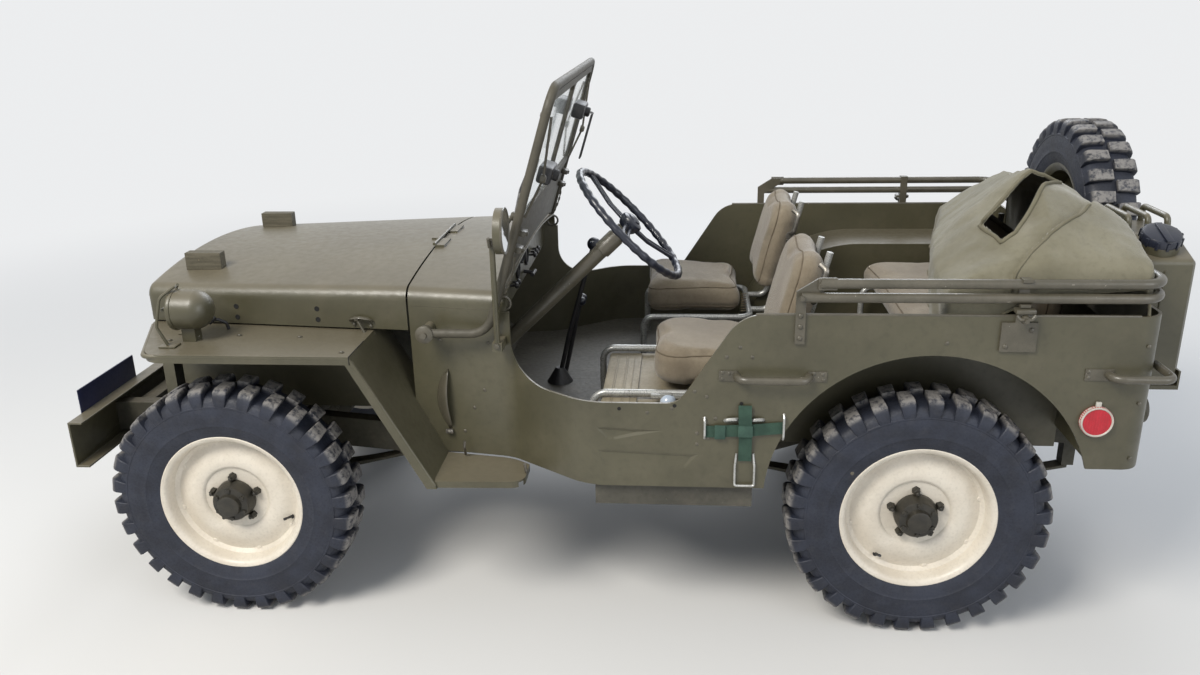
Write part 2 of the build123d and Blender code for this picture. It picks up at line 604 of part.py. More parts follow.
# Wheel houses: an arched front over the tyre, then a flat top back to the tail
with BuildPart(BODY) as wheelhouses:
    for side in LEFT_AND_RIGHT:
        low = side * (HOUSE_HALF + SEAM)
        for inner, far in ((HOUSE_R - HOUSE_WALL, side * INNER_HALF), (0, low + side * HOUSE_WALL)):
            with BuildSketch(SIDE.offset(-low)):
                with Locations((ARCH_X, ARCH_Z)):
                    Circle(HOUSE_R)
                    Rectangle(TAIL_INNER - ARCH_X, HOUSE_R, align=(Align.MIN, Align.MIN))
                    if inner:
                        Circle(inner, mode=Mode.SUBTRACT)
                        Rectangle(TAIL_INNER - ARCH_X, inner, align=(Align.MIN, Align.MIN), mode=Mode.SUBTRACT)
            extrude(amount=low - far)
        block(BACK_WALL - HOUSE_WALL, BACK_WALL - SEAM, low, side * INNER_HALF, REAR_FLOOR_TOP - 30, HOUSE_TOP)
        block(RISER_X, BACK_WALL - SEAM, 0, side * BODY_HALF, 0, FLOOR_TOP + SEAM, Mode.SUBTRACT)
        block(BACK_WALL - SEAM, TAIL, 0, side * BODY_HALF, 0, REAR_FLOOR_TOP, Mode.SUBTRACT)
    with BuildSketch(BODY.offset(SILL_Z)):
        tub_plan(WALL + SEAM)
    extrude(amount=RAIL_TOP - SILL_Z, mode=Mode.INTERSECT)
save(wheelhouses, "wheelhouses")


def crown(station, half, top, bottom, inset=0.0):
    """A hood section: upright sides, round corners and a low crown."""
    wide = half - inset
    edge = top - CROWN_DROP - inset
    with BuildSketch(across(station)) as section:
        with BuildLine():
            roof = ThreePointArc((-wide, edge), (0, top - inset), (wide, edge))
            Polyline(roof @ 1, (wide, bottom), (-wide, bottom), roof @ 0)
        make_face()
        fillet(section.vertices().group_by(Axis.Y)[-1], radius=CORNER_R - inset)
    return section.sketch


def hood_hinge(edge, reach, middles):
    """One side of the hood's hinge: a leaf for each barrel on the hinge line."""
    for middle in middles:
        first, last = sorted((edge, edge + reach))
        block(first, last, middle - HINGE_SPAN / 2, middle + HINGE_SPAN / 2, COWL_TOP - 2 * SKIN, COWL_TOP + 5)
        with Locations(Location((HINGE_X, middle, HINGE_Z), (90, 0, 0))):
            Cylinder(HINGE_R, HINGE_SPAN)


# Hood: a crowned shell, open below and behind, with a turned-down nose
HOOD_REAR = COWL_FRONT - HOOD_GAP
NOSE_LIP = 76.0
NOSE_R = 24.0
with BuildPart(BODY) as hood:
    loft([crown(NOSE, NOSE_HALF, NOSE_TOP, HOOD_BOTTOM), crown(HOOD_REAR, COWL_HALF, COWL_TOP, HOOD_BOTTOM)])
    fillet(hood.faces().sort_by(Axis.X)[0].edges().sort_by(Axis.Z)[-3:], radius=NOSE_R)
    loft([crown(NOSE + NOSE_R / 2, NOSE_HALF, NOSE_TOP, HOOD_BOTTOM - 20, SKIN),
          crown(HOOD_REAR + 1, COWL_HALF, COWL_TOP, HOOD_BOTTOM - 20, SKIN)], mode=Mode.SUBTRACT)
    block(NOSE - 5, NOSE + NOSE_R, -NOSE_HALF + SKIN, NOSE_HALF - SKIN, HOOD_BOTTOM - 5, NOSE_TOP - NOSE_LIP,
          Mode.SUBTRACT)
    hood_hinge(HOOD_REAR, -30, [0])
save(hood, "hood")

# Two wooden blocks on the hood that carry the folded windscreen
BLOCK_X = -163.0
BLOCK_Y = 301.0
BLOCK_TOP = 1060.0
with BuildPart(BODY) as hood_blocks:
    for side in LEFT_AND_RIGHT:
        block(BLOCK_X - 58, BLOCK_X + 58, side * BLOCK_Y - 18, side * BLOCK_Y + 18, NOSE_TOP - 30, BLOCK_TOP)
    loft([crown(NOSE, NOSE_HALF, NOSE_TOP + SEAM, HOOD_BOTTOM),
          crown(HOOD_REAR, COWL_HALF, COWL_TOP + SEAM, HOOD_BOTTOM)], mode=Mode.SUBTRACT)
save(hood_blocks, "hood_blocks")

# Cowl: the crowned top between hood and windscreen, the firewall and the dash panel
DASH_X = 800.0
DASH_LOW = 880.0
COWL_LOW = SHOULDER_Z + SEAM
with BuildPart(BODY) as cowl:
    loft([crown(COWL_FRONT, COWL_HALF, COWL_TOP, COWL_LOW), crown(COWL_REAR, WAIST_HALF, COWL_TOP, COWL_LOW)])
    loft([crown(COWL_FRONT - 1, COWL_HALF, COWL_TOP, COWL_LOW - 10, SKIN),
          crown(COWL_REAR + 1, WAIST_HALF, COWL_TOP, COWL_LOW - 10, SKIN)], mode=Mode.SUBTRACT)
    for station, low in ((TOE_FRONT - SKIN - SEAM, TOE_TOP - 20), (DASH_X, DASH_LOW)):
        half = slope(station, COWL_FRONT, COWL_REAR, COWL_HALF, WAIST_HALF)
        extrude(crown(station, half - 1, COWL_TOP - 1, COWL_LOW), amount=SKIN)
        block(station, station + SKIN, -(half - WALL - 1), half - WALL - 1, low, COWL_LOW + 2)
    hood_hinge(COWL_FRONT, 30, [-HINGE_SPAN - 2 * SEAM, HINGE_SPAN + 2 * SEAM])
save(cowl, "cowl")

# Fenders: flat top with a lip, slanted leg, step and inner apron
GRILLE_HALF = 418.0
LEG_TOP_X = 432.0
LEG_FOOT_X = 652.0
LEG_FOOT_Z = 463.0
STEP_REAR = 905.0
APRON_Y = 392.0
fender_plan = [
    (NOSE + 13, 0, 0), (NOSE + 13, 440, 10), (-165, BODY_HALF, 70), (LEG_TOP_X, BODY_HALF, 0), (LEG_TOP_X, 0, 0)]
for name, side in (("left", -1), ("right", 1)):
    with BuildPart(BODY) as fender:
        with BuildSketch(BODY.offset(FENDER_TOP - FENDER_LIP)):
            outline([(x, side * y, bend) for x, y, bend in fender_plan])
        extrude(amount=FENDER_LIP)
        with BuildSketch(BODY.offset(FENDER_TOP - FENDER_LIP)) as under:
            outline([(x, side * y, bend) for x, y, bend in fender_plan])
            offset(amount=-FENDER_T, mode=Mode.REPLACE)
        extrude(amount=FENDER_LIP - FENDER_T, mode=Mode.SUBTRACT)
        block(LEG_TOP_X - 8, LEG_TOP_X, 0, side * (BODY_HALF - FENDER_T), FENDER_TOP - FENDER_LIP,
              FENDER_TOP - FENDER_T, Mode.SUBTRACT)
        with BuildSketch(SIDE):
            with BuildLine():
                Polyline((LEG_TOP_X, FENDER_TOP), (LEG_FOOT_X, LEG_FOOT_Z), (LEG_FOOT_X - FENDER_T - 2, LEG_FOOT_Z),
                         (LEG_TOP_X - 3, FENDER_TOP - FENDER_T), (LEG_TOP_X - 6, FENDER_TOP), close=True)
            make_face()
        extrude(amount=-side * BODY_HALF)
        with BuildSketch(SIDE.offset(-side * (BODY_HALF - FENDER_T))):
            with BuildLine():
                Polyline((LEG_TOP_X, FENDER_TOP), (LEG_FOOT_X, LEG_FOOT_Z), (LEG_FOOT_X - 30, LEG_FOOT_Z),
                         (LEG_TOP_X - 14, FENDER_TOP - FENDER_LIP), (LEG_TOP_X - 14, FENDER_TOP), close=True)
            make_face()
        extrude(amount=-side * FENDER_T)
        with BuildSketch(BODY.offset(STEP_TOP - 20)):
            outline([(LEG_FOOT_X - 22, 0, 0), (LEG_FOOT_X - 22, side * (BODY_HALF - 8), 0),
                     (STEP_REAR, side * (BODY_HALF - 18), 40), (STEP_REAR, 0, 0)])
        extrude(amount=20)
        block(LEG_FOOT_X - 14, STEP_REAR - 5, 0, side * (BODY_HALF - 24), STEP_TOP - 20, STEP_TOP - 5, Mode.SUBTRACT)
        block(NOSE, 1000, -side * 10, side * APRON_Y, 400, 900, Mode.SUBTRACT)
        block(NOSE + 13, LEG_TOP_X, side * APRON_Y, side * (APRON_Y + 4), 575, FENDER_TOP - FENDER_T)
        block(NOSE, NOSE + 60, side * APRON_Y, side * (GRILLE_HALF + SEAM), 400, FENDER_TOP + 10, Mode.SUBTRACT)
        with BuildSketch(BODY.offset(400)):
            tub_plan(-SEAM)
        extrude(amount=500, mode=Mode.SUBTRACT)
    save(fender, f"fender_{name}")

# Grille with its slots and lamp holes, and the two headlamps behind it
GRILLE_X = NOSE + 7
GRILLE_LOW = RAIL_FRONT_Z + RAIL_H + SEAM
GRILLE_TOP = NOSE_TOP - NOSE_LIP - MOVING_GAP - 1
SLOTS = 9
SLOT_STEP = 50.0
LAMP_Y = 308.0
LAMP_Z = 790.0
LAMP_HOLE_R = 84.0
with BuildPart(BODY) as grille:
    with BuildSketch(across(GRILLE_X)):
        outline([(-GRILLE_HALF, GRILLE_LOW, 60), (GRILLE_HALF, GRILLE_LOW, 60), (GRILLE_HALF, GRILLE_TOP, 12),
                 (-GRILLE_HALF, GRILLE_TOP, 12)])
    extrude(amount=36)
    with BuildSketch(across(GRILLE_X + SKIN)):
        outline([(-GRILLE_HALF, GRILLE_LOW, 60), (GRILLE_HALF, GRILLE_LOW, 60), (GRILLE_HALF, GRILLE_TOP, 12),
                 (-GRILLE_HALF, GRILLE_TOP, 12)])
        offset(amount=-SKIN, mode=Mode.REPLACE)
    extrude(amount=40, mode=Mode.SUBTRACT)
    with BuildSketch(across(GRILLE_X)):
        with Locations((0, 770)):
            with GridLocations(SLOT_STEP, 1, SLOTS, 1):
                SlotOverall(310, 26, rotation=90)
        with Locations(*[(side * LAMP_Y, LAMP_Z) for side in LEFT_AND_RIGHT]):
            Circle(LAMP_HOLE_R)
    extrude(amount=SKIN, mode=Mode.SUBTRACT)
save(grille, "grille")

with BuildPart(BODY) as headlamps:
    for side in LEFT_AND_RIGHT:
        with Locations(Location((GRILLE_X + SKIN + SEAM, side * LAMP_Y, LAMP_Z), (0, 90, 0))):
            Cone(LAMP_HOLE_R + 4, 34, 80, align=(Align.CENTER, Align.CENTER, Align.MIN))
save(headlamps, "headlamps")

# Blackout lamp on the left fender: round housing, visor, foot and guard strap
BLACKOUT_X = -115.0
BLACKOUT_Y = -600.0
BLACKOUT_Z = 962.0
BLACKOUT_R = 58.0
with BuildPart(BODY) as blackout:
    with BuildSketch(Plane(origin=(FRONT_X + BLACKOUT_X, BLACKOUT_Y, BLACKOUT_Z), x_dir=(1, 0, 0), z_dir=(0, -1, 0))):
        with BuildLine():
            Polyline((58, BLACKOUT_R), (0, BLACKOUT_R), (0, 0), (58 + BLACKOUT_R * 0.8, 0))
            ThreePointArc((58 + BLACKOUT_R * 0.8, 0), (58 + BLACKOUT_R * 0.56, BLACKOUT_R * 0.7), (58, BLACKOUT_R))
        make_face()
    revolve(axis=Axis((FRONT_X + BLACKOUT_X, BLACKOUT_Y, BLACKOUT_Z), (1, 0, 0)))
    block(BLACKOUT_X + 10, BLACKOUT_X + 50, BLACKOUT_Y - 20, BLACKOUT_Y + 20, FENDER_TOP + SEAM, BLACKOUT_Z)
save(blackout, "blackout_lamp")

# Windscreen: tube frame with arms and lower panel, inner frame, two panes
LEAN_RUN = FRAME_TOP_X - ELBOW_X
LEAN_RISE = FRAME_TOP_Z - PIVOT_Z
LEAN = hypot(LEAN_RUN, LEAN_RISE)
SCREEN = Plane(origin=(FRONT_X + ELBOW_X, 0, PIVOT_Z), x_dir=(0, 1, 0), z_dir=(LEAN_RISE, 0, -LEAN_RUN))
PANEL_LOW = 110.0
PANEL_HIGH = 330.0
INNER_HALF_W = FRAME_HALF - TUBE_R - SEAM
INNER_TOP = LEAN - TUBE_R - SEAM
INNER_LOW = PANEL_HIGH + SEAM
INNER_CORNER_R = 62.0
BEZEL = 24.0
with BuildPart(BODY) as windscreen_frame:
    tube([(PIVOT_X, -FRAME_HALF, PIVOT_Z), (ELBOW_X, -FRAME_HALF, PIVOT_Z), (FRAME_TOP_X, -FRAME_HALF, FRAME_TOP_Z),
          (FRAME_TOP_X, FRAME_HALF, FRAME_TOP_Z), (ELBOW_X, FRAME_HALF, PIVOT_Z), (PIVOT_X, FRAME_HALF, PIVOT_Z)],
         TUBE_R, 70)
    for side in LEFT_AND_RIGHT:
        with Locations(Location((PIVOT_X, side * FRAME_HALF, PIVOT_Z), (90, 0, 0))):
            Cylinder(22, 2 * TUBE_R)
            Cylinder(PIVOT_PIN_R + SEAM, 4 * TUBE_R, mode=Mode.SUBTRACT)
    with BuildSketch(SCREEN):
        with Locations((0, (PANEL_LOW + PANEL_HIGH) / 2)):
            Rectangle(2 * FRAME_HALF, PANEL_HIGH - PANEL_LOW)
    extrude(amount=3, both=True)
    loft([crown(COWL_FRONT, WAIST_HALF + MOVING_GAP, COWL_TOP + MOVING_GAP + 1, SHOULDER_Z - 60),
          crown(COWL_REAR + 60, WAIST_HALF + MOVING_GAP, COWL_TOP + MOVING_GAP + 1, SHOULDER_Z - 60)],
         mode=Mode.SUBTRACT)
save(windscreen_frame, "windscreen_frame")

with BuildPart(BODY) as windscreen_inner:
    with BuildSketch(SCREEN):
        with Locations((0, (INNER_LOW + INNER_TOP) / 2)):
            RectangleRounded(2 * INNER_HALF_W, INNER_TOP - INNER_LOW, INNER_CORNER_R)
            for side in LEFT_AND_RIGHT:
                with Locations((side * (INNER_HALF_W / 2 - BEZEL / 8), 0)):
                    RectangleRounded(INNER_HALF_W - 1.5 * BEZEL, INNER_TOP - INNER_LOW - 2 * BEZEL, 30,
                                     mode=Mode.SUBTRACT)
    extrude(amount=9, both=True)
save(windscreen_inner, "windscreen_inner")

with BuildPart(BODY) as windscreen_glass:
    with BuildSketch(SCREEN):
        with Locations((0, (INNER_LOW + INNER_TOP) / 2)):
            for side in LEFT_AND_RIGHT:
                with Locations((side * (INNER_HALF_W / 2 - BEZEL / 8), 0)):
                    RectangleRounded(INNER_HALF_W - 1.5 * BEZEL - 2 * SEAM,
                                     INNER_TOP - INNER_LOW - 2 * BEZEL - 2 * SEAM, 30 - SEAM)
    extrude(amount=2.5, both=True)
save(windscreen_glass, "windscreen_glass")

# Side mirror on its post beside the cowl
POST_X = 832.0
POST_Y = -626.0
with BuildPart(BODY) as side_mirror:
    tube([(POST_X, POST_Y, 850), (POST_X, POST_Y, 1180)], 8)
    tube([(POST_X, POST_Y, 1172), (POST_X + 38, POST_Y - 40, 1195)], 5)
    with Locations(Location((POST_X + 38, POST_Y - 62, 1215), (0, 90, 0))):
        Cylinder(62, 22)
    block(POST_X - 14, POST_X + 14, POST_Y - 8, -(WAIST_HALF - 1), 850, 876)
    with BuildSketch(BODY.offset(SILL_Z)):
        tub_plan(-SEAM)
    extrude(amount=RAIL_TOP - SILL_Z, mode=Mode.SUBTRACT)
save(side_mirror, "side_mirror")

# Steering gear: a box on the left rail, the column through the toe board, and the wheel
WHEEL_GRIP_R = 11.0
WHEEL_HUB_H = 40.0
COLUMN_LENGTH = 850.0
TOE_TILT = 90 - STEER_RISE
wheel_place = Location((STEER_HUB_X, STEER_Y, STEER_HUB_Z), (0, TOE_TILT, 0))
column_top = wheel_place * Location((0, 0, -WHEEL_HUB_H / 2 - SEAM))
with BuildPart(BODY) as steering_column:
    with Locations(column_top):
        Cylinder(COLUMN_R, COLUMN_LENGTH, align=(Align.CENTER, Align.CENTER, Align.MAX))
    block(505, 585, STEER_Y - COLUMN_R, STEER_Y + 2 * COLUMN_R, RAIL_MID_Z + RAIL_H, 580)
save(steering_column, "steering_column")

grip_centre = STEER_R - WHEEL_GRIP_R
grip_section = [
    (grip_centre + WHEEL_GRIP_R * cos(pi * (k + 0.5) / 4), WHEEL_GRIP_R * sin(pi * (k + 0.5) / 4)) for k in range(8)]
grip_shape = ring(grip_section, PITCHES)
with BuildPart(BODY) as steering_wheel:
    with Locations(wheel_place):
        add(grip_shape)
        Cylinder(30, WHEEL_HUB_H)
        with PolarLocations(grip_centre / 2 + 10, 3, start_angle=60):
            Box(grip_centre - 20, 16, 8)
save(steering_wheel, "steering_wheel")

# Small controls: gear lever with its boot, two short levers and three pedals on the toe board
LEVER_X = 925.0
PEDALS = [(-462, 82, 70, 60), (-290, 82, 70, 60), (-215, 30, 110, 40)]
with BuildPart(BODY) as controls:
    tube([(LEVER_X, 0, FLOOR_TOP + 20), (LEVER_X + 40, 0, 700), (1052, 0, 1000)], 8, 80)
    with Locations((1056, 0, 1010)):
        Sphere(21)
    with Locations((LEVER_X, 0, FLOOR_TOP + SEAM)):
        Cone(46, 14, 52, align=(Align.CENTER, Align.CENTER, Align.MIN))
    for y in (70, 110):
        tube([(LEVER_X + 10, y, FLOOR_TOP + 2), (LEVER_X + 70, y, 780)], 7)
    for y, reach, tall, wide in PEDALS:
        foot = Location((650, y, slope(650, TOE_FRONT, TOE_FOOT, TOE_TOP, FLOOR_TOP)), (0, TOE_TILT, 0))
        with Locations(foot * Location((0, 0, 3 * SEAM))):
            Cylinder(9, reach, align=(Align.CENTER, Align.CENTER, Align.MIN))
        with Locations(foot * Location((0, 0, reach))):
            Box(tall, wide, 8)
save(controls, "controls")

# Seat frames of bent tube. Columns are middle, half width, front, rear and floor height, seat rail height.
SEAT_TUBE_R = 11.0
POST_R = 10.0
SEAT_HALF = 195.0
PAD_HALF = 205.0
CUSHION_T = 118.0
RAIL_Z = 700.0
REAR_RAIL_Z = 748.0
PAD_LOW = RAIL_Z + SEAT_TUBE_R + SEAM
SEAT_REAR = RISER_X + 34.0
REAR_SEAT_FRONT = WHEELBASE - 2.0
REAR_SEAT_REAR = TAIL - 240.0
FRAMES = [
    (-SEAT_Y, SEAT_HALF, SEAT_REAR - 505, SEAT_REAR, FLOOR_TOP, RAIL_Z),
    (SEAT_Y, SEAT_HALF, SEAT_REAR - 385, SEAT_REAR, FLOOR_TOP, RAIL_Z),
    (0, HOUSE_HALF - 74, REAR_SEAT_FRONT, REAR_SEAT_REAR, REAR_FLOOR_TOP, REAR_RAIL_Z)]
BACK_X = SEAT_REAR - 4.0
BACK_Z = 790.0
BACK_T = 85.0
BACK_RISE = 350.0
REAR_BACK_X = TAIL - 146.0
REAR_BACK_Z = 805.0
BACK_SLOPE = tan(radians(14.4))
REAR_SLOPE = tan(radians(3.6))
POST_GAP = POST_R + SEAM
BACK_FACE_X = BACK_X + BACK_T + (BACK_T * BACK_SLOPE - BACK_Z + RAIL_Z) * BACK_SLOPE
POST_X = BACK_FACE_X + POST_GAP * hypot(1, BACK_SLOPE)
REAR_POST_X = REAR_BACK_X + (REAR_RAIL_Z - REAR_BACK_Z) * REAR_SLOPE + POST_GAP * hypot(1, REAR_SLOPE)
# Columns are middle, offset of the posts, foot of the posts, height of their top, slope
POSTS = [
    (-SEAT_Y, 95, POST_X, RAIL_Z, 1100, BACK_SLOPE), (SEAT_Y, 95, POST_X, RAIL_Z, 1100, BACK_SLOPE),
    (0, 300, REAR_POST_X, REAR_RAIL_Z, 1050, REAR_SLOPE)]
with BuildPart(BODY) as seat_frames:
    for middle, half, front, rear, low, rail in FRAMES:
        tube([(front, middle - half, low + SEAM), (front, middle - half, rail), (rear, middle - half, rail),
              (rear, middle + half, rail), (front, middle + half, rail), (front, middle + half, low + SEAM)],
             SEAT_TUBE_R, 40)
    for (middle, offset_y, foot, low, high, lean), (_, _, _, rear, _, _) in zip(POSTS, FRAMES):
        for side in LEFT_AND_RIGHT:
            y = middle + side * offset_y
            tube([(rear, y, low), (foot, y, low), (foot + (high - low) * lean, y, high)], POST_R, 35)
save(seat_frames, "seat_frames")

# Front seat cushions and backs, and the rear seat's two pads
with BuildPart(BODY) as cushions:
    for middle, front in ((-SEAT_Y, SEAT_REAR - 350), (SEAT_Y, SEAT_REAR - 395)):
        with BuildSketch(SIDE.offset(-middle)):
            outline([(front, PAD_LOW, 25), (SEAT_REAR - 12, PAD_LOW, 20), (SEAT_REAR - 12, PAD_LOW + 90, 35),
                     (front, PAD_LOW + CUSHION_T, 45)])
        extrude(amount=PAD_HALF, both=True)
save(cushions, "front_cushions")

back_run = BACK_RISE * BACK_SLOPE
back_drop = BACK_T * BACK_SLOPE
back_side = [
    (BACK_X, BACK_Z, 20), (BACK_X + BACK_T, BACK_Z - back_drop, 25),
    (BACK_X + BACK_T + back_run, BACK_Z + BACK_RISE - back_drop, 35), (BACK_X + back_run, BACK_Z + BACK_RISE, 35)]
with BuildPart(BODY) as backs:
    for middle in (-SEAT_Y, SEAT_Y):
        with BuildSketch(SIDE.offset(-middle)):
            outline(back_side)
        extrude(amount=PAD_HALF, both=True)
save(backs, "front_backs")

REAR_PAD_LOW = REAR_RAIL_Z + SEAT_TUBE_R + SEAM
with BuildPart(BODY) as rear_pads:
    with BuildSketch(SIDE):
        outline([(REAR_SEAT_FRONT - 20, REAR_PAD_LOW, 25), (REAR_SEAT_REAR + 20, REAR_PAD_LOW, 20),
                 (REAR_SEAT_REAR + 20, REAR_PAD_LOW + 86, 25), (REAR_SEAT_FRONT - 20, REAR_PAD_LOW + 96, 35)])
    extrude(amount=HOUSE_HALF - 34, both=True)
    with BuildSketch(SIDE):
        outline([(x + up * REAR_SLOPE, REAR_BACK_Z + up, bend) for x, up, bend in (
            (REAR_BACK_X - 62, 0, 20), (REAR_BACK_X, 0, 20), (REAR_BACK_X, 275, 25), (REAR_BACK_X - 62, 275, 25))])
    extrude(amount=HOUSE_HALF - 34, both=True)
save(rear_pads, "rear_seat_pads")

# Folded top bows: two tubes round the tail, on a pivot bracket and a clamp on each side
BOW_R = 13.0
BOW_HALF = BODY_HALF + SEAM + BOW_R
BOW_TAIL = TAIL - 18.0
PIVOT_BOW_X = WHEELBASE - 365.0
CLAMP_X = WHEELBASE + 196.0
BOW_ROWS = [(PIVOT_BOW_X, 1052), (PIVOT_BOW_X + 48, 1090)]
with BuildPart(BODY) as top_bows:
    for front, z in BOW_ROWS:
        tube([(front, -BOW_HALF, z), (BOW_TAIL, -BOW_HALF, z), (BOW_TAIL, BOW_HALF, z), (front, BOW_HALF, z)],
             BOW_R, 70)
    for side in LEFT_AND_RIGHT:
        low, high = side * (BODY_HALF + SEAM), side * (BODY_HALF + SEAM + 8)
        block(PIVOT_BOW_X - 13, PIVOT_BOW_X + 13, low, high, 921, 1066)
        with BuildSketch(SIDE.offset(-high)):
            with BuildLine():
                Polyline((PIVOT_BOW_X - 13, 1040), (PIVOT_BOW_X + 13, 1040), (PIVOT_BOW_X + 75, 1080),
                         (PIVOT_BOW_X + 75, 1100), (PIVOT_BOW_X + 40, 1100), (PIVOT_BOW_X - 13, 1066), close=True)
            make_face()
        extrude(amount=side * 8)
        block(CLAMP_X - 46, CLAMP_X + 46, low, high, 905, 985)
        block(CLAMP_X - 13, CLAMP_X + 13, low, high, 970, 1104)
        block(CLAMP_X - 13, CLAMP_X + 13, low, side * (BOW_HALF + BOW_R + 4), 1098, 1106)
        block(CLAMP_X - 13, CLAMP_X + 13, low, side * (BOW_HALF + BOW_R + 4), 1032, 1040)
save(top_bows, "top_bows")

# Canvas cover thrown over the rear seat: a hollow tent of cloth with its window cut out.
# Columns are place across, foot, front edge and its height, ridge and its height, rear edge and its height.
# Each place along the car is measured from the tail.
CLOTH_T = 9.0
CANVAS_FOOT = HOUSE_TOP + SEAM
CANVAS_REAR = BOW_TAIL - BOW_R - 10
canvas_rows = [
    (25 - BODY_HALF, -538, -548, 1062, -300, 1150, -55, 1118), (-350, -508, -516, 1100, -265, 1318, -55, 1190),
    (0, -430, -415, 1080, -200, 1258, -50, 1180), (350, -340, -320, 1060, -120, 1198, -45, 1130),
    (490, -310, -290, 1020, -110, 1130, -45, 1085)]
WINDOW = [(-420, -500, 20), (-330, -612, 20), (-168, -365, 20), (-265, -325, 20)]


def cloth_section(row, inset):
    """One section of the cover across the car, set in by the cloth's thickness."""
    y, edge_z, ridge_z, back_z = row[0], row[3], row[5], row[7]
    foot, edge, ridge, back = [TAIL + behind for behind in (row[1], row[2], row[4], row[6])]
    shift = inset if y < 0 else -inset
    place = SIDE.offset(-(y + shift if abs(y) > 400 else y))
    with BuildSketch(place) as section:
        with BuildLine():
            Polyline((foot + inset, CANVAS_FOOT - inset), (edge + inset, edge_z - inset / 2), (ridge, ridge_z - inset),
                     (back - inset / 2, back_z - inset), (CANVAS_REAR - inset, CANVAS_FOOT - inset), close=True)
        make_face()
    return section.sketch


with BuildPart(BODY) as canvas_cover:
    for inset, mode in ((0, Mode.ADD), (CLOTH_T, Mode.SUBTRACT)):
        loft([cloth_section(row, inset) for row in canvas_rows], ruled=True, mode=mode)
    with BuildSketch(BODY.offset(CANVAS_FOOT + 100)):
        outline([(TAIL + behind, y, bend) for behind, y, bend in WINDOW])
    extrude(amount=400, mode=Mode.SUBTRACT)
save(canvas_cover, "canvas_cover")

# Fuel can: rounded body with a sloped shoulder, three handles and a screw cap
CAN_X = TAIL + 12.0
CAN_TOP = CAN_Z + 415
can_low, can_high = CAN_Y - CAN_W / 2, CAN_Y + CAN_W / 2
with BuildPart(BODY) as jerrycan:
    with BuildSketch(across(CAN_X)):
        outline([(can_low, CAN_Z + SEAM, 30), (can_high, CAN_Z + SEAM, 30), (can_high, CAN_TOP, 35),
                 (can_low + 125, CAN_TOP, 12), (can_low, CAN_TOP - 46, 20)])
    extrude(amount=CAN_D)
    chamfer(jerrycan.faces().filter_by(Axis.X).edges(), length=10)
    with Locations(Location((CAN_X + CAN_D / 2, can_low + 64, CAN_TOP - 24), (20, 0, 0))):
        Cylinder(52, 50)
    for k in (-1, 0, 1):
        x = CAN_X + CAN_D / 2 + k * 54
        tube([(x, can_low + 140, CAN_TOP - 20), (x, can_low + 150, CAN_Z + CAN_H - 9),
              (x, can_high - 34, CAN_Z + CAN_H - 9), (x, can_high - 24, CAN_TOP - 20)], 9, 18)
save(jerrycan, "jerrycan")

# Carriers on the rear panel: a tray for the can and a bracket for the spare wheel
DISC_FACE = SPARE_X + DISC_OUT - SEAM
with BuildPart(BODY) as carriers:
    block(TAIL + SEAM, TAIL + 8, can_low, can_high, CAN_Z - 30, CAN_Z + 170)
    block(TAIL + SEAM, CAN_X + CAN_D + 6, can_low - 6, can_high + 6, CAN_Z - 12, CAN_Z)
    block(CAN_X + CAN_D + SEAM, CAN_X + CAN_D + 6, can_low - 6, can_high + 6, CAN_Z - 12, CAN_Z + 45)
    block(TAIL + SEAM, TAIL + 10, SPARE_Y - 120, SPARE_Y + 120, SPARE_Z - 220, SPARE_Z - 10)
    for side in LEFT_AND_RIGHT:
        with BuildSketch(SIDE.offset(-(SPARE_Y + side * 60))):
            with BuildLine():
                Polyline((TAIL + SEAM, SPARE_Z - 210), (DISC_FACE - 8, SPARE_Z - 70), (DISC_FACE - 8, SPARE_Z + 70),
                         (DISC_FACE - 60, SPARE_Z + 60), (TAIL + SEAM, SPARE_Z - 10), close=True)
            make_face()
        extrude(amount=4, both=True)
    with Locations(Location((DISC_FACE - 4, SPARE_Y, SPARE_Z), (0, 90, 0))):
        Cylinder(88, 8)
save(carriers, "rear_carriers")

# Grab handles: one behind each door and one round each tail corner
GRIP_R = 11.0
GRIP_OUT = BODY_HALF + 36.0
GRIP_FRONT = WHEELBASE - 527.0
GRIP_SPAN = 192.0
GRIP_Z = 826.0
TAIL_GRIP_Z = 841.0
with BuildPart(BODY) as grab_handles:
    for side in LEFT_AND_RIGHT:
        wall = side * (BODY_HALF + SEAM)
        reach = side * GRIP_OUT
        tube([(GRIP_FRONT, wall, GRIP_Z), (GRIP_FRONT, reach, GRIP_Z), (GRIP_FRONT + GRIP_SPAN, reach, GRIP_Z),
              (GRIP_FRONT + GRIP_SPAN, wall, GRIP_Z)], GRIP_R, 30)
        for start in (GRIP_FRONT - 48, GRIP_FRONT + GRIP_SPAN - 2):
            block(start, start + 50, wall, wall + side * 3, GRIP_Z - 14, GRIP_Z + 16)
        tube([(TAIL - 130, wall, TAIL_GRIP_Z), (TAIL - 130, reach, TAIL_GRIP_Z), (TAIL + 24, reach, TAIL_GRIP_Z),
              (TAIL + 24, side * (BODY_HALF - 98), TAIL_GRIP_Z), (TAIL + SEAM, side * (BODY_HALF - 98), TAIL_GRIP_Z)],
             GRIP_R, [30, 30, 20])
        block(TAIL - 190, TAIL - 118, wall, wall + side * 3, TAIL_GRIP_Z - 16, TAIL_GRIP_Z + 16)
save(grab_handles, "grab_handles")

# Round reflectors on the sides and a lamp on each side of the tail
REFLECTOR_R = 43.0
with BuildPart(BODY) as reflectors:
    for side in LEFT_AND_RIGHT:
        with Locations(Location((TAIL - 145, side * (BODY_HALF + SEAM + 6), 710), (90, 0, 0))):
            Cylinder(REFLECTOR_R, 12)
save(reflectors, "reflectors")

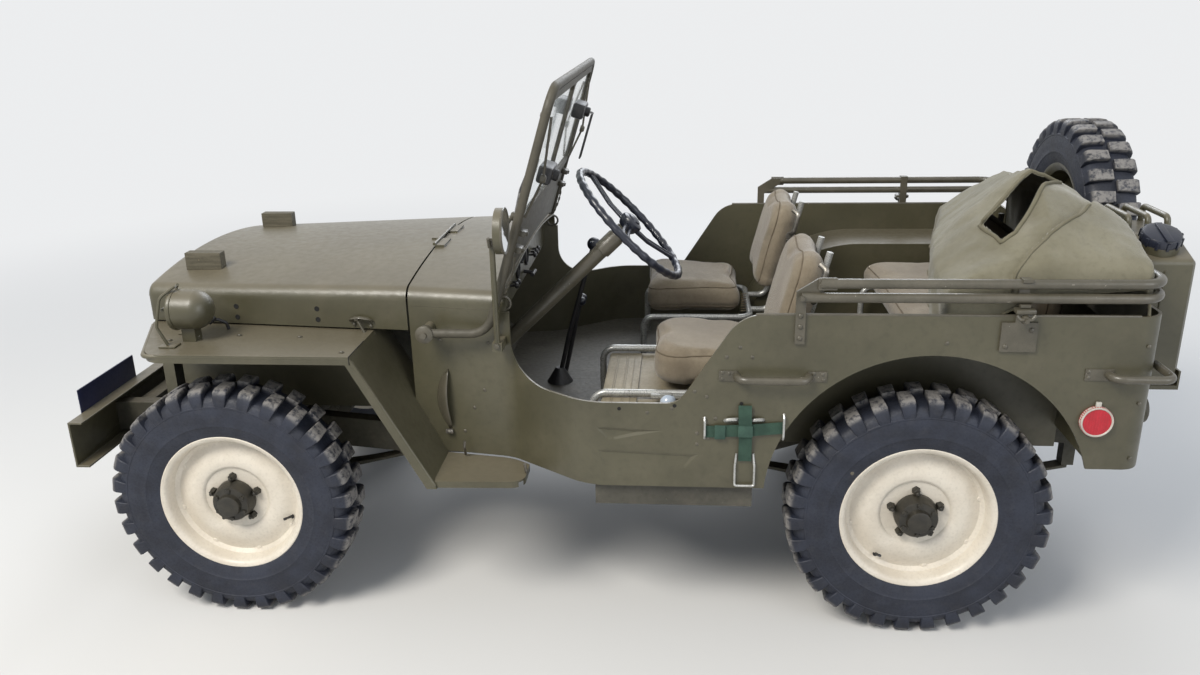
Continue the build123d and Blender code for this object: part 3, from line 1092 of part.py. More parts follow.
with BuildPart(BODY) as tail_lamps:
    for side in LEFT_AND_RIGHT:
        with Locations(Location((TAIL + SEAM, side * 600, 690), (0, 90, 0))):
            Cylinder(38, 34, align=(Align.CENTER, Align.CENTER, Align.MIN))
save(tail_lamps, "tail_lamps")
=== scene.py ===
from math import cos, pi, radians, sin, tan

import bmesh
import bpy
from mathutils import Matrix, Vector, noise
from mathutils.bvhtree import BVHTree


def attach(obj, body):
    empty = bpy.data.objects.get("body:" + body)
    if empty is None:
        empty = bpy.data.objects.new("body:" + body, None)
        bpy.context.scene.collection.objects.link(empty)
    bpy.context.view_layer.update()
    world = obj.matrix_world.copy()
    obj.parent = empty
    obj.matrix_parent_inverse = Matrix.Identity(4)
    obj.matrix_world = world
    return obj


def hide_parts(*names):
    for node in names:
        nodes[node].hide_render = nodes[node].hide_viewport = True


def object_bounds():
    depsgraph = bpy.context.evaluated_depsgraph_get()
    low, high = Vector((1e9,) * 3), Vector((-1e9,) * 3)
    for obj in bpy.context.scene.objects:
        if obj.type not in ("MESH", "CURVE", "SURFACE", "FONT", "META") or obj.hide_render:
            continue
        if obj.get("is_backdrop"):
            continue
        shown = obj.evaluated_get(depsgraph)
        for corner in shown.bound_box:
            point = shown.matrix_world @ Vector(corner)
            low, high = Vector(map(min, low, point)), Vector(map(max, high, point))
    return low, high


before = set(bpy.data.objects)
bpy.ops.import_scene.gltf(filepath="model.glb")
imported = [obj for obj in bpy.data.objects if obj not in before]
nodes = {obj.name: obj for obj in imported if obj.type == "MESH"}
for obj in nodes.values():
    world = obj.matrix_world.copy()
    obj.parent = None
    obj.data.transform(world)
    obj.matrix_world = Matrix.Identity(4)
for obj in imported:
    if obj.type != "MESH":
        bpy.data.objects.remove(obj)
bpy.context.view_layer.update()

# Lengths are in mm, as stations from the front axle, widths and heights, until a mesh is written
MM = 0.001
AXLE_X = -1145.0
LEFT_AND_RIGHT = (-1, 1)
SIDES = (("left", -1), ("right", 1))
SEATS = (("driver", -1), ("passenger", 1))
BODY_HALF = 737.0
WHEELBASE = 2032.0
TAIL = 2600.0
TRACK_HALF = 622.5
TYRE_R = 374.0


def at(x, y, z):
    """A point in metres from its station, width and height."""
    return Vector(((x + AXLE_X) * MM, y * MM, z * MM))


def new_object(name, data):
    """An object in the scene that shows its data."""
    obj = bpy.data.objects.new(name, data)
    bpy.context.scene.collection.objects.link(obj)
    return obj


# Camera, from the photograph's vanishing lines and the car's known sizes
CAMERA_AT = (1360.6, -3240.5, 1802.5)
CAMERA_TURNS = (-0.08943, 0.33311, -0.02104)
FOCAL_SHARE = 984.73 / 1200
SENSOR = 36.0


def place_camera():
    """A camera at the photograph's viewpoint."""
    yaw, pitch, roll = CAMERA_TURNS
    forward = Vector((sin(yaw) * cos(pitch), cos(yaw) * cos(pitch), -sin(pitch)))
    flat_right = Vector((cos(yaw), -sin(yaw), 0))
    flat_up = flat_right.cross(forward)
    right = cos(roll) * flat_right + sin(roll) * flat_up
    up = -sin(roll) * flat_right + cos(roll) * flat_up
    data = bpy.data.cameras.new("camera")
    data.sensor_width = SENSOR
    data.lens = FOCAL_SHARE * SENSOR
    camera = new_object("camera", data)
    turn = Matrix((right, up, -forward)).transposed().to_4x4()
    camera.matrix_world = Matrix.Translation(at(*CAMERA_AT)) @ turn
    bpy.context.scene.camera = camera


place_camera()


# Materials
def add_node(tree, kind, inputs=None, **settings):
    """A shader node with its settings, inputs given as values or as sockets to link."""
    node = tree.nodes.new(kind)
    for key, value in settings.items():
        setattr(node, key, value)
    for key, value in (inputs or {}).items():
        if isinstance(value, bpy.types.NodeSocket):
            tree.links.new(value, node.inputs[key])
        else:
            node.inputs[key].default_value = value
    return node


def rgba(colour):
    return (*colour, 1.0)


def math_node(tree, operation, first, second=0.0, clamp=False):
    return add_node(tree, "ShaderNodeMath", {0: first, 1: second}, operation=operation,
        use_clamp=clamp).outputs[0]


def mix_colour(tree, factor, first, second):
    """The first colour where the factor is 0, and the second where it is 1."""
    node = add_node(tree, "ShaderNodeMix", {0: factor, 6: first, 7: second}, data_type="RGBA")
    return node.outputs[2]


def noise_of(tree, coords, scale, detail=4.0, rough=0.55):
    return add_node(tree, "ShaderNodeTexNoise", {"Vector": coords, "Scale": scale, "Detail": detail,
        "Roughness": rough}).outputs[0]


def ramp(tree, value, low, high):
    """A smooth step of a value from low to high."""
    return add_node(tree, "ShaderNodeMapRange", {0: value, 1: low, 2: high, 3: 0.0, 4: 1.0},
        interpolation_type="SMOOTHSTEP").outputs[0]


def weave_of(tree, coords, thread):
    """Two crossing sets of threads, at a thread spacing in metres."""
    waves = []
    for axis in ((1, 0, 1), (0, 1, 1)):
        along = add_node(tree, "ShaderNodeVectorMath", {0: coords, 1: Vector(axis) * (2 * pi / thread)},
            operation="DOT_PRODUCT").outputs["Value"]
        waves.append(math_node(tree, "SINE", along))
    return math_node(tree, "MULTIPLY", waves[0], waves[1])


FINE_SCALE = 14
EDGE_ANGLE = radians(34)


def finish(name, low, high, patch=6.0, rough=0.5, rough_span=0.12, metal=0.0, dust=None, lit_top_and_dust=0.0,
        dust_patch=0.3, rim_dust=None, weave=0.0, grain=0.0, grain_scale=600.0, streak=None, chips=None,
        **sockets):
    """A procedural material: patchy colour, dust, an up-facing top of settled dust and painted sunlight,
    chips or weave, a fine grain.
    """
    mat = bpy.data.materials.new(name)
    mat.use_nodes = True
    tree = mat.node_tree
    shader = tree.nodes["Principled BSDF"]
    coords = add_node(tree, "ShaderNodeTexCoord").outputs["Object"]
    if streak:
        coords_patch = add_node(tree, "ShaderNodeMapping", {"Vector": coords, "Scale": streak}).outputs[0]
    else:
        coords_patch = coords
    patches = noise_of(tree, coords_patch, patch, 6.0, 0.6)
    colour = mix_colour(tree, ramp(tree, patches, 0.32, 0.68), rgba(low), rgba(high))
    fine = noise_of(tree, coords, patch * FINE_SCALE, 3.0)
    colour = mix_colour(tree, math_node(tree, "MULTIPLY", ramp(tree, fine, 0.45, 0.8), 0.35), colour,
        rgba([c * 0.72 for c in low]))
    normal = add_node(tree, "ShaderNodeNewGeometry").outputs["Normal"]
    if dust:
        # Up-facing faces turn toward the dust colour: partly settled dust, partly a painted sunlit top.
        up = add_node(tree, "ShaderNodeSeparateXYZ", {0: normal}).outputs[2]
        lit_top_and_dust_mask = math_node(tree, "MULTIPLY", ramp(tree, up, 0.35, 0.98), lit_top_and_dust)
        blown = math_node(tree, "MULTIPLY", ramp(tree, noise_of(tree, coords, patch * 2.2, 8.0, 0.65), 0.48,
            0.75), dust_patch)
        colour = mix_colour(tree, math_node(tree, "ADD", lit_top_and_dust_mask, blown, clamp=True), colour, rgba(dust))
    if rim_dust:
        start, end, dusty = rim_dust
        parts = add_node(tree, "ShaderNodeSeparateXYZ", {0: coords})
        flat = add_node(tree, "ShaderNodeCombineXYZ", {0: parts.outputs[0], 1: parts.outputs[1]}).outputs[0]
        radius = add_node(tree, "ShaderNodeVectorMath", {0: flat}, operation="LENGTH").outputs["Value"]
        worn = math_node(tree, "MULTIPLY", ramp(tree, radius, start, end),
            ramp(tree, noise_of(tree, coords, 55.0, 6.0, 0.7), 0.34, 0.58))
        colour = mix_colour(tree, worn, colour, rgba(dusty))
    if chips:
        spots = ramp(tree, noise_of(tree, coords, 95.0, 2.0, 0.5), 0.735, 0.76)
        colour = mix_colour(tree, spots, colour, rgba(chips))
    if weave:
        threads = weave_of(tree, coords, weave)
        colour = mix_colour(tree, math_node(tree, "MULTIPLY", ramp(tree, threads, -0.2, 0.9), 0.22), colour,
            rgba([c * 0.55 for c in low]))
    tree.links.new(colour, shader.inputs["Base Color"])
    gloss = add_node(tree, "ShaderNodeMapRange", {0: fine, 1: 0.3, 2: 0.7, 3: rough - rough_span / 2,
        4: rough + rough_span / 2}).outputs[0]
    tree.links.new(gloss, shader.inputs["Roughness"])
    shader.inputs["Metallic"].default_value = metal
    for key, value in sockets.items():
        shader.inputs[key.replace("_", " ")].default_value = value
    height = math_node(tree, "MULTIPLY", noise_of(tree, coords, grain_scale, 3.0), grain)
    if weave:
        height = math_node(tree, "ADD", height, math_node(tree, "MULTIPLY", threads, 0.5))
    if grain or weave:
        bump = add_node(tree, "ShaderNodeBump", {"Strength": 0.35, "Distance": 0.001,
            "Height": height}).outputs[0]
        tree.links.new(bump, shader.inputs["Normal"])
    return mat


OLIVE = (0.053, 0.048, 0.026)
OLIVE_LIGHT = (0.076, 0.069, 0.040)
# Dust colour; on the olive paint's up-facing faces it also paints the sunlit top.
DUST_AND_LIT_TOP = (0.27, 0.225, 0.165)
paint = finish("olive_paint", OLIVE, OLIVE_LIGHT, 3.0, 0.42, 0.14, dust=DUST_AND_LIT_TOP, lit_top_and_dust=0.24, dust_patch=0.08,
    grain=0.25, grain_scale=900.0, Coat_Weight=0.2, Coat_Roughness=0.28)
floor_paint = finish("olive_floor", (0.042, 0.039, 0.029), (0.066, 0.061, 0.046), 5.0, 0.6, 0.16,
    dust=(0.17, 0.145, 0.11), lit_top_and_dust=0.12, dust_patch=0.25, grain=0.5, chips=(0.16, 0.14, 0.11))
# A darker copy of the olive paint for the chassis, running gear and headlamps under the body: painted shade.
shaded_under_paint = finish("olive_under_shaded", (0.028, 0.026, 0.016), (0.050, 0.046, 0.030), 5.0, 0.62, 0.2,
    dust=(0.16, 0.13, 0.09), lit_top_and_dust=0.2, dust_patch=0.25, grain=0.5)
tube_paint = finish("olive_tube", (0.064, 0.057, 0.039), (0.094, 0.083, 0.060), 14.0, 0.38, 0.16, grain=0.2,
    chips=(0.30, 0.27, 0.22), Coat_Weight=0.2, Coat_Roughness=0.25)
screen_paint = finish("olive_screen", (0.045, 0.040, 0.027), (0.066, 0.058, 0.040), 5.0, 0.6, 0.14, grain=0.4,
    chips=(0.20, 0.18, 0.14))
cream = finish("cream_paint", (0.56, 0.50, 0.41), (0.64, 0.585, 0.495), 9.0, 0.46, 0.14,
    dust=(0.40, 0.345, 0.26), lit_top_and_dust=0.06, dust_patch=0.16, grain=0.3, Coat_Weight=0.15, Coat_Roughness=0.3)
# The blue tint in the black rubber is a painted sky reflection; the pale tread rim is dust.
rubber = finish("tyre_rubber", (0.007, 0.009, 0.017), (0.016, 0.020, 0.034), 12.0, 0.62, 0.2,
    dust=(0.09, 0.085, 0.085), lit_top_and_dust=0.0, dust_patch=0.12, rim_dust=(0.3555, 0.3715, (0.200, 0.188, 0.175)),
    grain=0.7, grain_scale=420.0)
hub_black = finish("hub_black", (0.012, 0.011, 0.008), (0.030, 0.026, 0.018), 25.0, 0.42, 0.25, grain=0.7,
    dust=(0.09, 0.075, 0.05), dust_patch=0.1)
canvas_cloth = finish("canvas", (0.152, 0.137, 0.088), (0.208, 0.190, 0.130), 5.0, 0.93, 0.05,
    dust=(0.27, 0.25, 0.19), dust_patch=0.35, weave=0.0022, grain=0.6, grain_scale=220.0, Sheen_Weight=0.2)
canvas_hem = finish("canvas_hem", (0.130, 0.116, 0.073), (0.175, 0.157, 0.104), 12.0, 0.93, 0.05,
    weave=0.0022, grain=0.5)
seat_cloth = finish("seat_cloth", (0.170, 0.135, 0.091), (0.230, 0.188, 0.130), 7.0, 0.92, 0.06,
    dust=(0.28, 0.24, 0.17), dust_patch=0.35, weave=0.0026, grain=0.5, grain_scale=260.0, Sheen_Weight=0.25)
welt_cloth = finish("welt_cloth", (0.105, 0.082, 0.053), (0.150, 0.118, 0.078), 30.0, 0.9, 0.06, grain=0.4)
webbing = finish("webbing", (0.016, 0.042, 0.028), (0.030, 0.068, 0.046), 30.0, 0.88, 0.08, weave=0.003,
    grain=0.4)
bright_tube = finish("grey_tube", (0.34, 0.34, 0.32), (0.48, 0.48, 0.46), 20.0, 0.3, 0.2, metal=0.5,
    grain=0.2, chips=(0.16, 0.14, 0.10))
steel = finish("raw_steel", (0.16, 0.15, 0.13), (0.30, 0.28, 0.25), 18.0, 0.4, 0.25, metal=0.9, grain=0.4)
iron = finish("cast_grey", (0.06, 0.06, 0.05), (0.11, 0.11, 0.09), 16.0, 0.65, 0.2, metal=0.2, grain=1.2,
    grain_scale=300.0, dust=(0.16, 0.13, 0.09), lit_top_and_dust=0.3)
black_gloss = finish("black_grip", (0.006, 0.008, 0.015), (0.014, 0.017, 0.030), 10.0, 0.36, 0.12, grain=0.1,
    Coat_Weight=0.15, Coat_Roughness=0.2)
black_paint = finish("black_enamel", (0.010, 0.010, 0.012), (0.022, 0.021, 0.022), 14.0, 0.45, 0.2, grain=0.4,
    dust=(0.10, 0.085, 0.06), dust_patch=0.15)
plate_blue = finish("plate_blue", (0.007, 0.010, 0.036), (0.012, 0.016, 0.055), 8.0, 0.4, 0.15, grain=0.3)
tan_paint = finish("tank_tan", (0.190, 0.160, 0.105), (0.250, 0.215, 0.148), 8.0, 0.6, 0.16, grain=0.5,
    dust=DUST_AND_LIT_TOP, dust_patch=0.2)
wood = finish("olive_wood", (0.060, 0.052, 0.032), (0.105, 0.092, 0.062), 10.0, 0.6, 0.15,
    streak=(1.0, 12.0, 12.0), grain=0.8, grain_scale=160.0, chips=(0.20, 0.16, 0.10))
pale_blue = finish("ball_blue", (0.36, 0.42, 0.50), (0.46, 0.52, 0.60), 20.0, 0.2, 0.1, Coat_Weight=0.6)
red_lens = finish("red_lens", (0.36, 0.004, 0.014), (0.47, 0.006, 0.020), 40.0, 0.30, 0.06, weave=0.0075,
    grain=0.3, Coat_Weight=0.25, Coat_Roughness=0.12)
webbing_dark = finish("webbing_dark", (0.020, 0.050, 0.036), (0.034, 0.078, 0.056), 30.0, 0.8, 0.1, grain=0.5)
pale_rim = finish("pale_rim", (0.40, 0.38, 0.33), (0.52, 0.50, 0.44), 20.0, 0.45, 0.1, grain=0.3, dust=DUST_AND_LIT_TOP,
    dust_patch=0.2)
mirror_glass = finish("mirror_glass", (0.62, 0.64, 0.66), (0.70, 0.72, 0.74), 12.0, 0.06, 0.04, metal=1.0)
hole_dark = finish("hole_dark", (0.004, 0.004, 0.004), (0.008, 0.008, 0.007), 30.0, 0.9, 0.05)
glass = finish("glass", (0.86, 0.92, 0.91), (0.92, 0.96, 0.95), 2.0, 0.06, 0.04, Transmission_Weight=1.0,
    IOR=1.45)
lens = finish("lamp_lens", (0.75, 0.78, 0.78), (0.86, 0.88, 0.88), 30.0, 0.1, 0.06, weave=0.012,
    Transmission_Weight=0.35)

# Nodes by their finish; the others are olive
FINISHES = (
    (shaded_under_paint, "chassis_frame front_axle rear_axle knuckle_left knuckle_right tie_rod "
    "leaf_springs prop_shafts headlamps"),
    (steel, "exhaust"),
    (iron, "engine_block gearbox"),
    (black_paint, "radiator controls"),
    (plate_blue, "front_plate"),
    (tan_paint, "fuel_tank"),
    (wood, "hood_blocks"),
    (glass, "windscreen_glass"),
    (red_lens, "reflectors"),
    (bright_tube, "seat_frames"),
    (black_gloss, "steering_wheel"),
    (canvas_cloth, "canvas_cover"),
    (seat_cloth, "front_cushions front_backs rear_seat_pads"),
    (tube_paint, "top_bows grab_handles"),
    (floor_paint, "floor"),
    (screen_paint, "windscreen_frame windscreen_inner"),
    (paint, "spare_rim tail_lamps"))
node_finish = {node: made for made, names in FINISHES for node in names.split()}

# Slots by their material; the others are olive paint
SLOTS = {cream: "cream_paint", rubber: "tyre_rubber", canvas_cloth: "canvas", canvas_hem: "canvas",
    seat_cloth: "seat_cloth", welt_cloth: "seat_cloth", bright_tube: "grey_tube", steel: "raw_steel",
    mirror_glass: "raw_steel", iron: "cast_grey", black_gloss: "black_grip", black_paint: "black_enamel",
    tan_paint: "tank_tan", pale_blue: "glass", lens: "glass", red_lens: "red_lens"}


def edge_group():
    """Geometry nodes that weld a CAD mesh and shade it smooth up to an angle."""
    group = bpy.data.node_groups.new("soft_edges", "GeometryNodeTree")
    group.interface.new_socket("Geometry", in_out="INPUT", socket_type="NodeSocketGeometry")
    group.interface.new_socket("Geometry", in_out="OUTPUT", socket_type="NodeSocketGeometry")
    start = group.nodes.new("NodeGroupInput").outputs[0]
    bare = add_node(group, "GeometryNodeRemoveAttribute",
        {"Geometry": start, "Name": "custom_normal"}).outputs[0]
    welded = add_node(group, "GeometryNodeMergeByDistance",
        {"Geometry": bare, "Distance": 0.00002}).outputs[0]
    smooth = add_node(group, "GeometryNodeSetShadeSmooth", {"Geometry": welded, "Shade Smooth": True},
        domain="FACE")
    angle = add_node(group, "GeometryNodeInputMeshEdgeAngle").outputs[0]
    sharp = add_node(group, "FunctionNodeCompare", {0: angle, 1: EDGE_ANGLE}, operation="GREATER_THAN",
        data_type="FLOAT").outputs[0]
    last = add_node(group, "GeometryNodeSetShadeSmooth", {"Geometry": smooth.outputs[0], "Selection": sharp,
        "Shade Smooth": False}, domain="EDGE")
    end = group.nodes.new("NodeGroupOutput")
    group.links.new(last.outputs[0], end.inputs[0])
    return group


soft_edges = edge_group()


CAD_EDGE = 1.6


def dress_node(node):
    """Gives a CAD node its finish, welded and with small round edges."""
    obj = nodes[node]
    obj.data.materials.clear()
    obj.data.materials.append(node_finish.get(node, paint))
    obj.modifiers.new("weld", "NODES").node_group = soft_edges
    bevel = obj.modifiers.new("bevel", "BEVEL")
    bevel.width = CAD_EDGE * MM
    bevel.segments = 2
    bevel.limit_method = "ANGLE"
    bevel.angle_limit = EDGE_ANGLE
    bevel.miter_outer = "MITER_ARC"
    weighted = obj.modifiers.new("weighted", "WEIGHTED_NORMAL")
    weighted.keep_sharp = True


for node in nodes:
    dress_node(node)


# Mesh helpers
def aim(point, direction):
    """A place at a point in mm with its Z along a direction."""
    turn = Vector(direction).to_track_quat("Z", "Y").to_matrix().to_4x4()
    return Matrix.Translation(at(*point)) @ turn


def within(place, x, y, z):
    """A point in metres from its mm along the axes of a place."""
    return place @ (Vector((x, y, z)) * MM)


def rounded(points, bend, steps=5):
    """A route with each corner rounded."""
    out = [points[0]]
    for before, corner, after in zip(points, points[1:], points[2:]):
        back, ahead = before - corner, after - corner
        half = back.angle(ahead) / 2
        reach = min(bend / max(tan(half), 0.05), 0.48 * min(back.length, ahead.length))
        first, last = corner + back.normalized() * reach, corner + ahead.normalized() * reach
        for k in range(steps + 1):
            t = k / steps
            out.append(first * (1 - t) ** 2 + corner * 2 * t * (1 - t) + last * t * t)
    out.append(points[-1])
    return out


def circle(sides):
    """The cosine and sine at each step round a circle."""
    return [(cos(2 * pi * j / sides), sin(2 * pi * j / sides)) for j in range(sides)]


def ball(radius, steps):
    """The profile of a ball from pole to pole."""
    turns = [pi * (k / steps - 0.5) for k in range(steps + 1)]
    return [(radius * cos(turn), radius * sin(turn)) for turn in turns]


def around(place, turn, radius, height):
    """A place turned about another's Z and moved out from it."""
    return place @ Matrix.Rotation(turn, 4, "Z") @ Matrix.Translation(Vector((radius, 0, height)) * MM)


class Shape:
    """A mesh gathered from simple forms. Forms take mm, and places take metres."""

    def __init__(self):
        self.mesh = bmesh.new()

    def grid(self, rows, close_rows=False, close_points=False, caps=False):
        """A skin over rows of points."""
        verts = [[self.mesh.verts.new(point) for point in row] for row in rows]
        count, size = len(rows), len(rows[0])
        for i in range(count if close_rows else count - 1):
            for j in range(size if close_points else size - 1):
                k, m = (i + 1) % count, (j + 1) % size
                self.mesh.faces.new((verts[i][j], verts[i][m], verts[k][m], verts[k][j]))
        if caps:
            self.mesh.faces.new(verts[0][::-1])
            self.mesh.faces.new(verts[-1])
        return self

    def lathe(self, profile, place, steps=64):
        """A ring or disc about a place's Z from rows of (radius, height)."""
        rows = [[within(place, r * c, r * s, z) for r, z in profile] for c, s in circle(steps)]
        return self.grid(rows, close_rows=True)

    def hoop(self, place, radius, thick, steps, sides=8, swell=0.0, waves=0):
        """A round cord bent into a ring about a place's Z. Its thickness may swell in waves."""
        rows = []
        for c, s in circle(steps):
            size = thick + swell * cos(waves * 2 * pi * len(rows) / steps)
            rows.append([within(place, (radius + size * out) * c, (radius + size * out) * s, size * up)
                for out, up in circle(sides)])
        return self.grid(rows, close_rows=True, close_points=True)

    def tube(self, points, radius, bend=0.0, sides=8, flat=1.0, up=None):
        """A tube or strip along points in mm. A flat strip keeps its wide side across up."""
        line = [at(*point) for point in points]
        line = rounded(line, bend * MM) if bend else line
        side, rows = None, []
        for k, point in enumerate(line):
            along = (line[min(k + 1, len(line) - 1)] - line[max(k - 1, 0)]).normalized()
            if up:
                side = Vector(up).cross(along).normalized()
            elif side is None:
                side = along.orthogonal().normalized()
            side = (side - along * side.dot(along)).normalized()
            other = along.cross(side)
            rows.append([point + (side * c + other * s * flat) * radius * MM for c, s in circle(sides)])
        return self.grid(rows, close_points=True, caps=True)

    def box(self, low, high, bevel=1.5, place=None):
        """A block between two corners, with its edges bevelled."""
        size = [high[k] - low[k] for k in range(3)]
        centre = [(high[k] + low[k]) / 2 for k in range(3)]
        if place is None:
            place = Matrix.Translation(at(*centre))
        else:
            place = place @ Matrix.Translation(Vector(centre) * MM)
        made = bmesh.ops.create_cube(self.mesh, size=1,
            matrix=place @ Matrix.Diagonal([s * MM for s in size] + [1]))
        if bevel:
            edges = list({edge for vert in made["verts"] for edge in vert.link_edges})
            bmesh.ops.bevel(self.mesh, geom=edges, offset=min(bevel, 0.4 * min(abs(s) for s in size)) * MM,
                segments=2, affect="EDGES", profile=0.5)
        return self

    def bolt(self, point, direction, radius=7.0, height=5.0, sides=6):
        """A bolt head with a washer, or a domed rivet when sides is 0."""
        place = aim(point, direction)
        if sides:
            self.lathe([(0, 0), (radius * 1.35, 0), (radius * 1.35, 1.2), (radius * 0.9, 1.2)], place, 14)
            return self.lathe([(radius, 0.5), (radius, height - 1), (radius * 0.85, height), (0, height)],
                place, sides)
        return self.lathe([(radius, -0.5), (radius * 0.92, height * 0.45), (radius * 0.6, height * 0.85),
            (0, height)], place, 12)

    def piece(self, name, material=tube_paint, body="body", slot=None, angle=38, replaces=(), place=None):
        """Writes the mesh as a piece that rides on a body. A slot is looked up from its material, but nothing
        uses it.
        """
        slot = slot or SLOTS.get(material, "olive_paint")
        bmesh.ops.remove_doubles(self.mesh, verts=self.mesh.verts, dist=0.000002)
        bmesh.ops.recalc_face_normals(self.mesh, faces=self.mesh.faces)
        for face in self.mesh.faces:
            face.smooth = True
        data = bpy.data.meshes.new(name)
        if place is not None:
            self.mesh.transform(place.inverted())
        self.mesh.to_mesh(data)
        self.mesh.free()
        data.set_sharp_from_angle(angle=radians(angle))
        data.materials.append(material)
        obj = new_object(name, data)
        if place is not None:
            obj.matrix_world = place
        bpy.context.view_layer.update()
        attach(obj, body)
        if replaces:
            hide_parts(*replaces)
        return obj


# Wheels: local Z runs along the axle toward the disc's outer face
SIDEWALL = [(206, 56), (210, 62), (224, 68), (238, 73), (252, 77.2), (258, 78.6), (260, 79.9), (264, 79.9),
    (266, 79.4), (280, 80.6), (292, 81.2), (306, 80.8), (316, 79.4), (318, 80.6), (322, 80.2), (324, 77.6),
    (334, 74.2), (343, 68), (349, 58), (352, 38), (353, 0)]
PITCHES = 30
LUG_PATH = [(374, 5), (374, 30), (373.6, 56), (371.5, 66), (365, 74.5), (354, 79.6), (338, 81.6), (325, 81.2),
    (319, 79)]
LUG_HALF = [19, 20, 21.5, 22, 22, 21, 19, 17.5, 16]


def tyre(name, body, place, node):
    """A tyre with ringed sidewalls and two staggered rows of bars."""
    shape = Shape()
    half = SIDEWALL + [(r, -z) for r, z in reversed(SIDEWALL[:-1])]
    shape.lathe(half, place, 120)
    for row in LEFT_AND_RIGHT:
        for k in range(PITCHES):
            middle = 2 * pi * (k + (0.25 if row > 0 else 0.75)) / PITCHES
            wobble = 0.8 * noise.noise(Vector((k * 1.7, row * 3.1, 0.4)))
            sections = []
            for n, ((r, z), wide) in enumerate(zip(LUG_PATH, LUG_HALF)):
                run = [LUG_PATH[max(n - 1, 0)], LUG_PATH[min(n + 1, len(LUG_PATH) - 1)]]
                out = Vector((run[0][0] - run[1][0], run[1][1] - run[0][1])).normalized()
                out = Vector((abs(out.y), abs(out.x)))
                ring = []
                for step, sink in ((-1.0, 24), (-0.97, 2.2), (-0.86, 0), (0.86, 0), (0.97, 2.2), (1.0, 24)):
                    sink = min(sink, 10) if n > 5 else sink
                    radius, height = r - out.x * sink, (z - out.y * sink) * row
                    turn = middle + (wide + wobble) * step / max(r, 340)
                    ring.append(within(place, radius * cos(turn), radius * sin(turn), height))
                sections.append(ring)
            shape.grid(sections, caps=True)
    return shape.piece(name, rubber, body, angle=32, replaces=[node], place=place)


RIM_FACE = [(222.5, 66), (219, 68), (212, 66.4), (206, 62), (202, 54), (199, 40), (196, 26), (188, 20),
    (184, 17), (176, 18.5), (166, 22), (152, 28), (138, 32.6), (124, 34), (110, 33.6), (103, 31),
    (98.5, 26.4), (92, 25), (46, 25), (44, 22)]
RIM_BACK = [(44, 18), (92, 18), (104, 24), (124, 27), (150, 21), (172, 10), (190, 8), (194, -20), (196, -54),
    (206, -62), (214, -67), (222, -68), (222.5, -64), (208, -60), (205.5, -50), (205.5, 50), (208, 60),
    (222.5, 63)]
VALVE_TURN = {"front_left": 5.9, "rear_left": 4.1, "front_right": 2.4, "rear_right": 1.1, "spare": 0.8}


def wheel(name, body, place):
    """A dished disc wheel with its valve, nuts, drive flange and hub cap."""
    rim_node, rim_finish = ("spare_rim", paint) if name == "spare" else (f"rim_{name}", cream)
    shape = Shape().lathe(RIM_FACE + RIM_BACK + RIM_FACE[:1], place, 96)
    for k in range(8):
        shape.lathe([(9, -2), (9, 1.6), (7, 3), (0, 3.2)], around(place, 2 * pi * (k + 0.3) / 8, 187, 17), 14)
    shape.piece(f"wheel_{name}_disc", rim_finish, body, angle=30, replaces=[rim_node], place=place)
    spot = around(place, VALVE_TURN[name], 176, 18)
    valve = Shape().lathe([(8, 0), (8, 1), (4.4, 1.5), (4, 12), (3.4, 24), (4.4, 24.5), (4.4, 33), (0, 34)],
        spot @ Matrix.Rotation(radians(-25), 4, "Y"), 12)
    valve.piece(f"wheel_{name}_valve", black_paint, body, place=place)
    hub = Shape()
    if name == "spare":
        for k in range(3):
            spot = around(place, 2 * pi * k / 3 + 0.4, 70, 25)
            hub.lathe([(15, 0), (15, 2), (12, 9), (12, 17), (10, 20), (0, 20)], spot, 6)
        hub.piece("wheel_spare_nuts", steel, body, place=place)
        return
    hub.lathe([(0, -60), (20.3, -60), (20.3, -58), (112, -60), (118, -57), (118, -2), (112, 4), (84, 17.8),
        (44, 18), (43.6, 26), (60, 26), (62, 29), (61, 46), (57, 52), (57, 68), (54, 73), (36, 76), (34, 82),
        (33, 90), (29, 92), (0, 92)], place, 48)
    for k in range(6):
        hub.lathe([(8, -3), (8, 4), (6.6, 6), (0, 6)], around(place, 2 * pi * (k + 0.5) / 6, 46, 73), 6)
    for k in range(5):
        spot = around(place, 2 * pi * k / 5 + 0.35, 72, 25)
        hub.lathe([(13, -2), (13, 3), (10.5, 6), (10.5, 17), (8.5, 19.5), (0, 20)], spot, 6)
        hub.lathe([(5, 18), (5, 27), (4, 28), (0, 28)], spot, 10)
    hub.piece(f"wheel_{name}_hub", hub_black, body, replaces=[f"hub_{name}"], place=place)


for name, station, side in (("front_left", 0, -1), ("front_right", 0, 1), ("rear_left", WHEELBASE, -1),
        ("rear_right", WHEELBASE, 1)):
    wheel_place = aim((station, side * TRACK_HALF, TYRE_R), (0, side, 0))
    tyre(f"wheel_{name}_tyre", f"wheel_{name}", wheel_place, f"tyre_{name}")
    wheel(name, f"wheel_{name}", wheel_place)
spare_place = aim((TAIL + 132, 320, 1000), (1, 0, 0))
tyre("wheel_spare_tyre", "body", spare_place, "spare_tyre")
wheel("spare", "body", spare_place)


# Cushions: a rounded slab puffed out as filled cloth, then seams and welts on it
def round_rect(wide, tall, radii, steps=7):
    """An outline about the middle, with a radius for each corner, counterclockwise from the low left."""
    points = []
    for k, radius in enumerate(radii):
        centre = Vector(((wide / 2 - radius) * (-1, 1, 1, -1)[k], (tall / 2 - radius) * (-1, -1, 1, 1)[k]))
        for step in range(steps + 1):
            turn = pi + (k + step / steps) * pi / 2
            points.append(centre + Vector((cos(turn), sin(turn))) * radius)
    return points


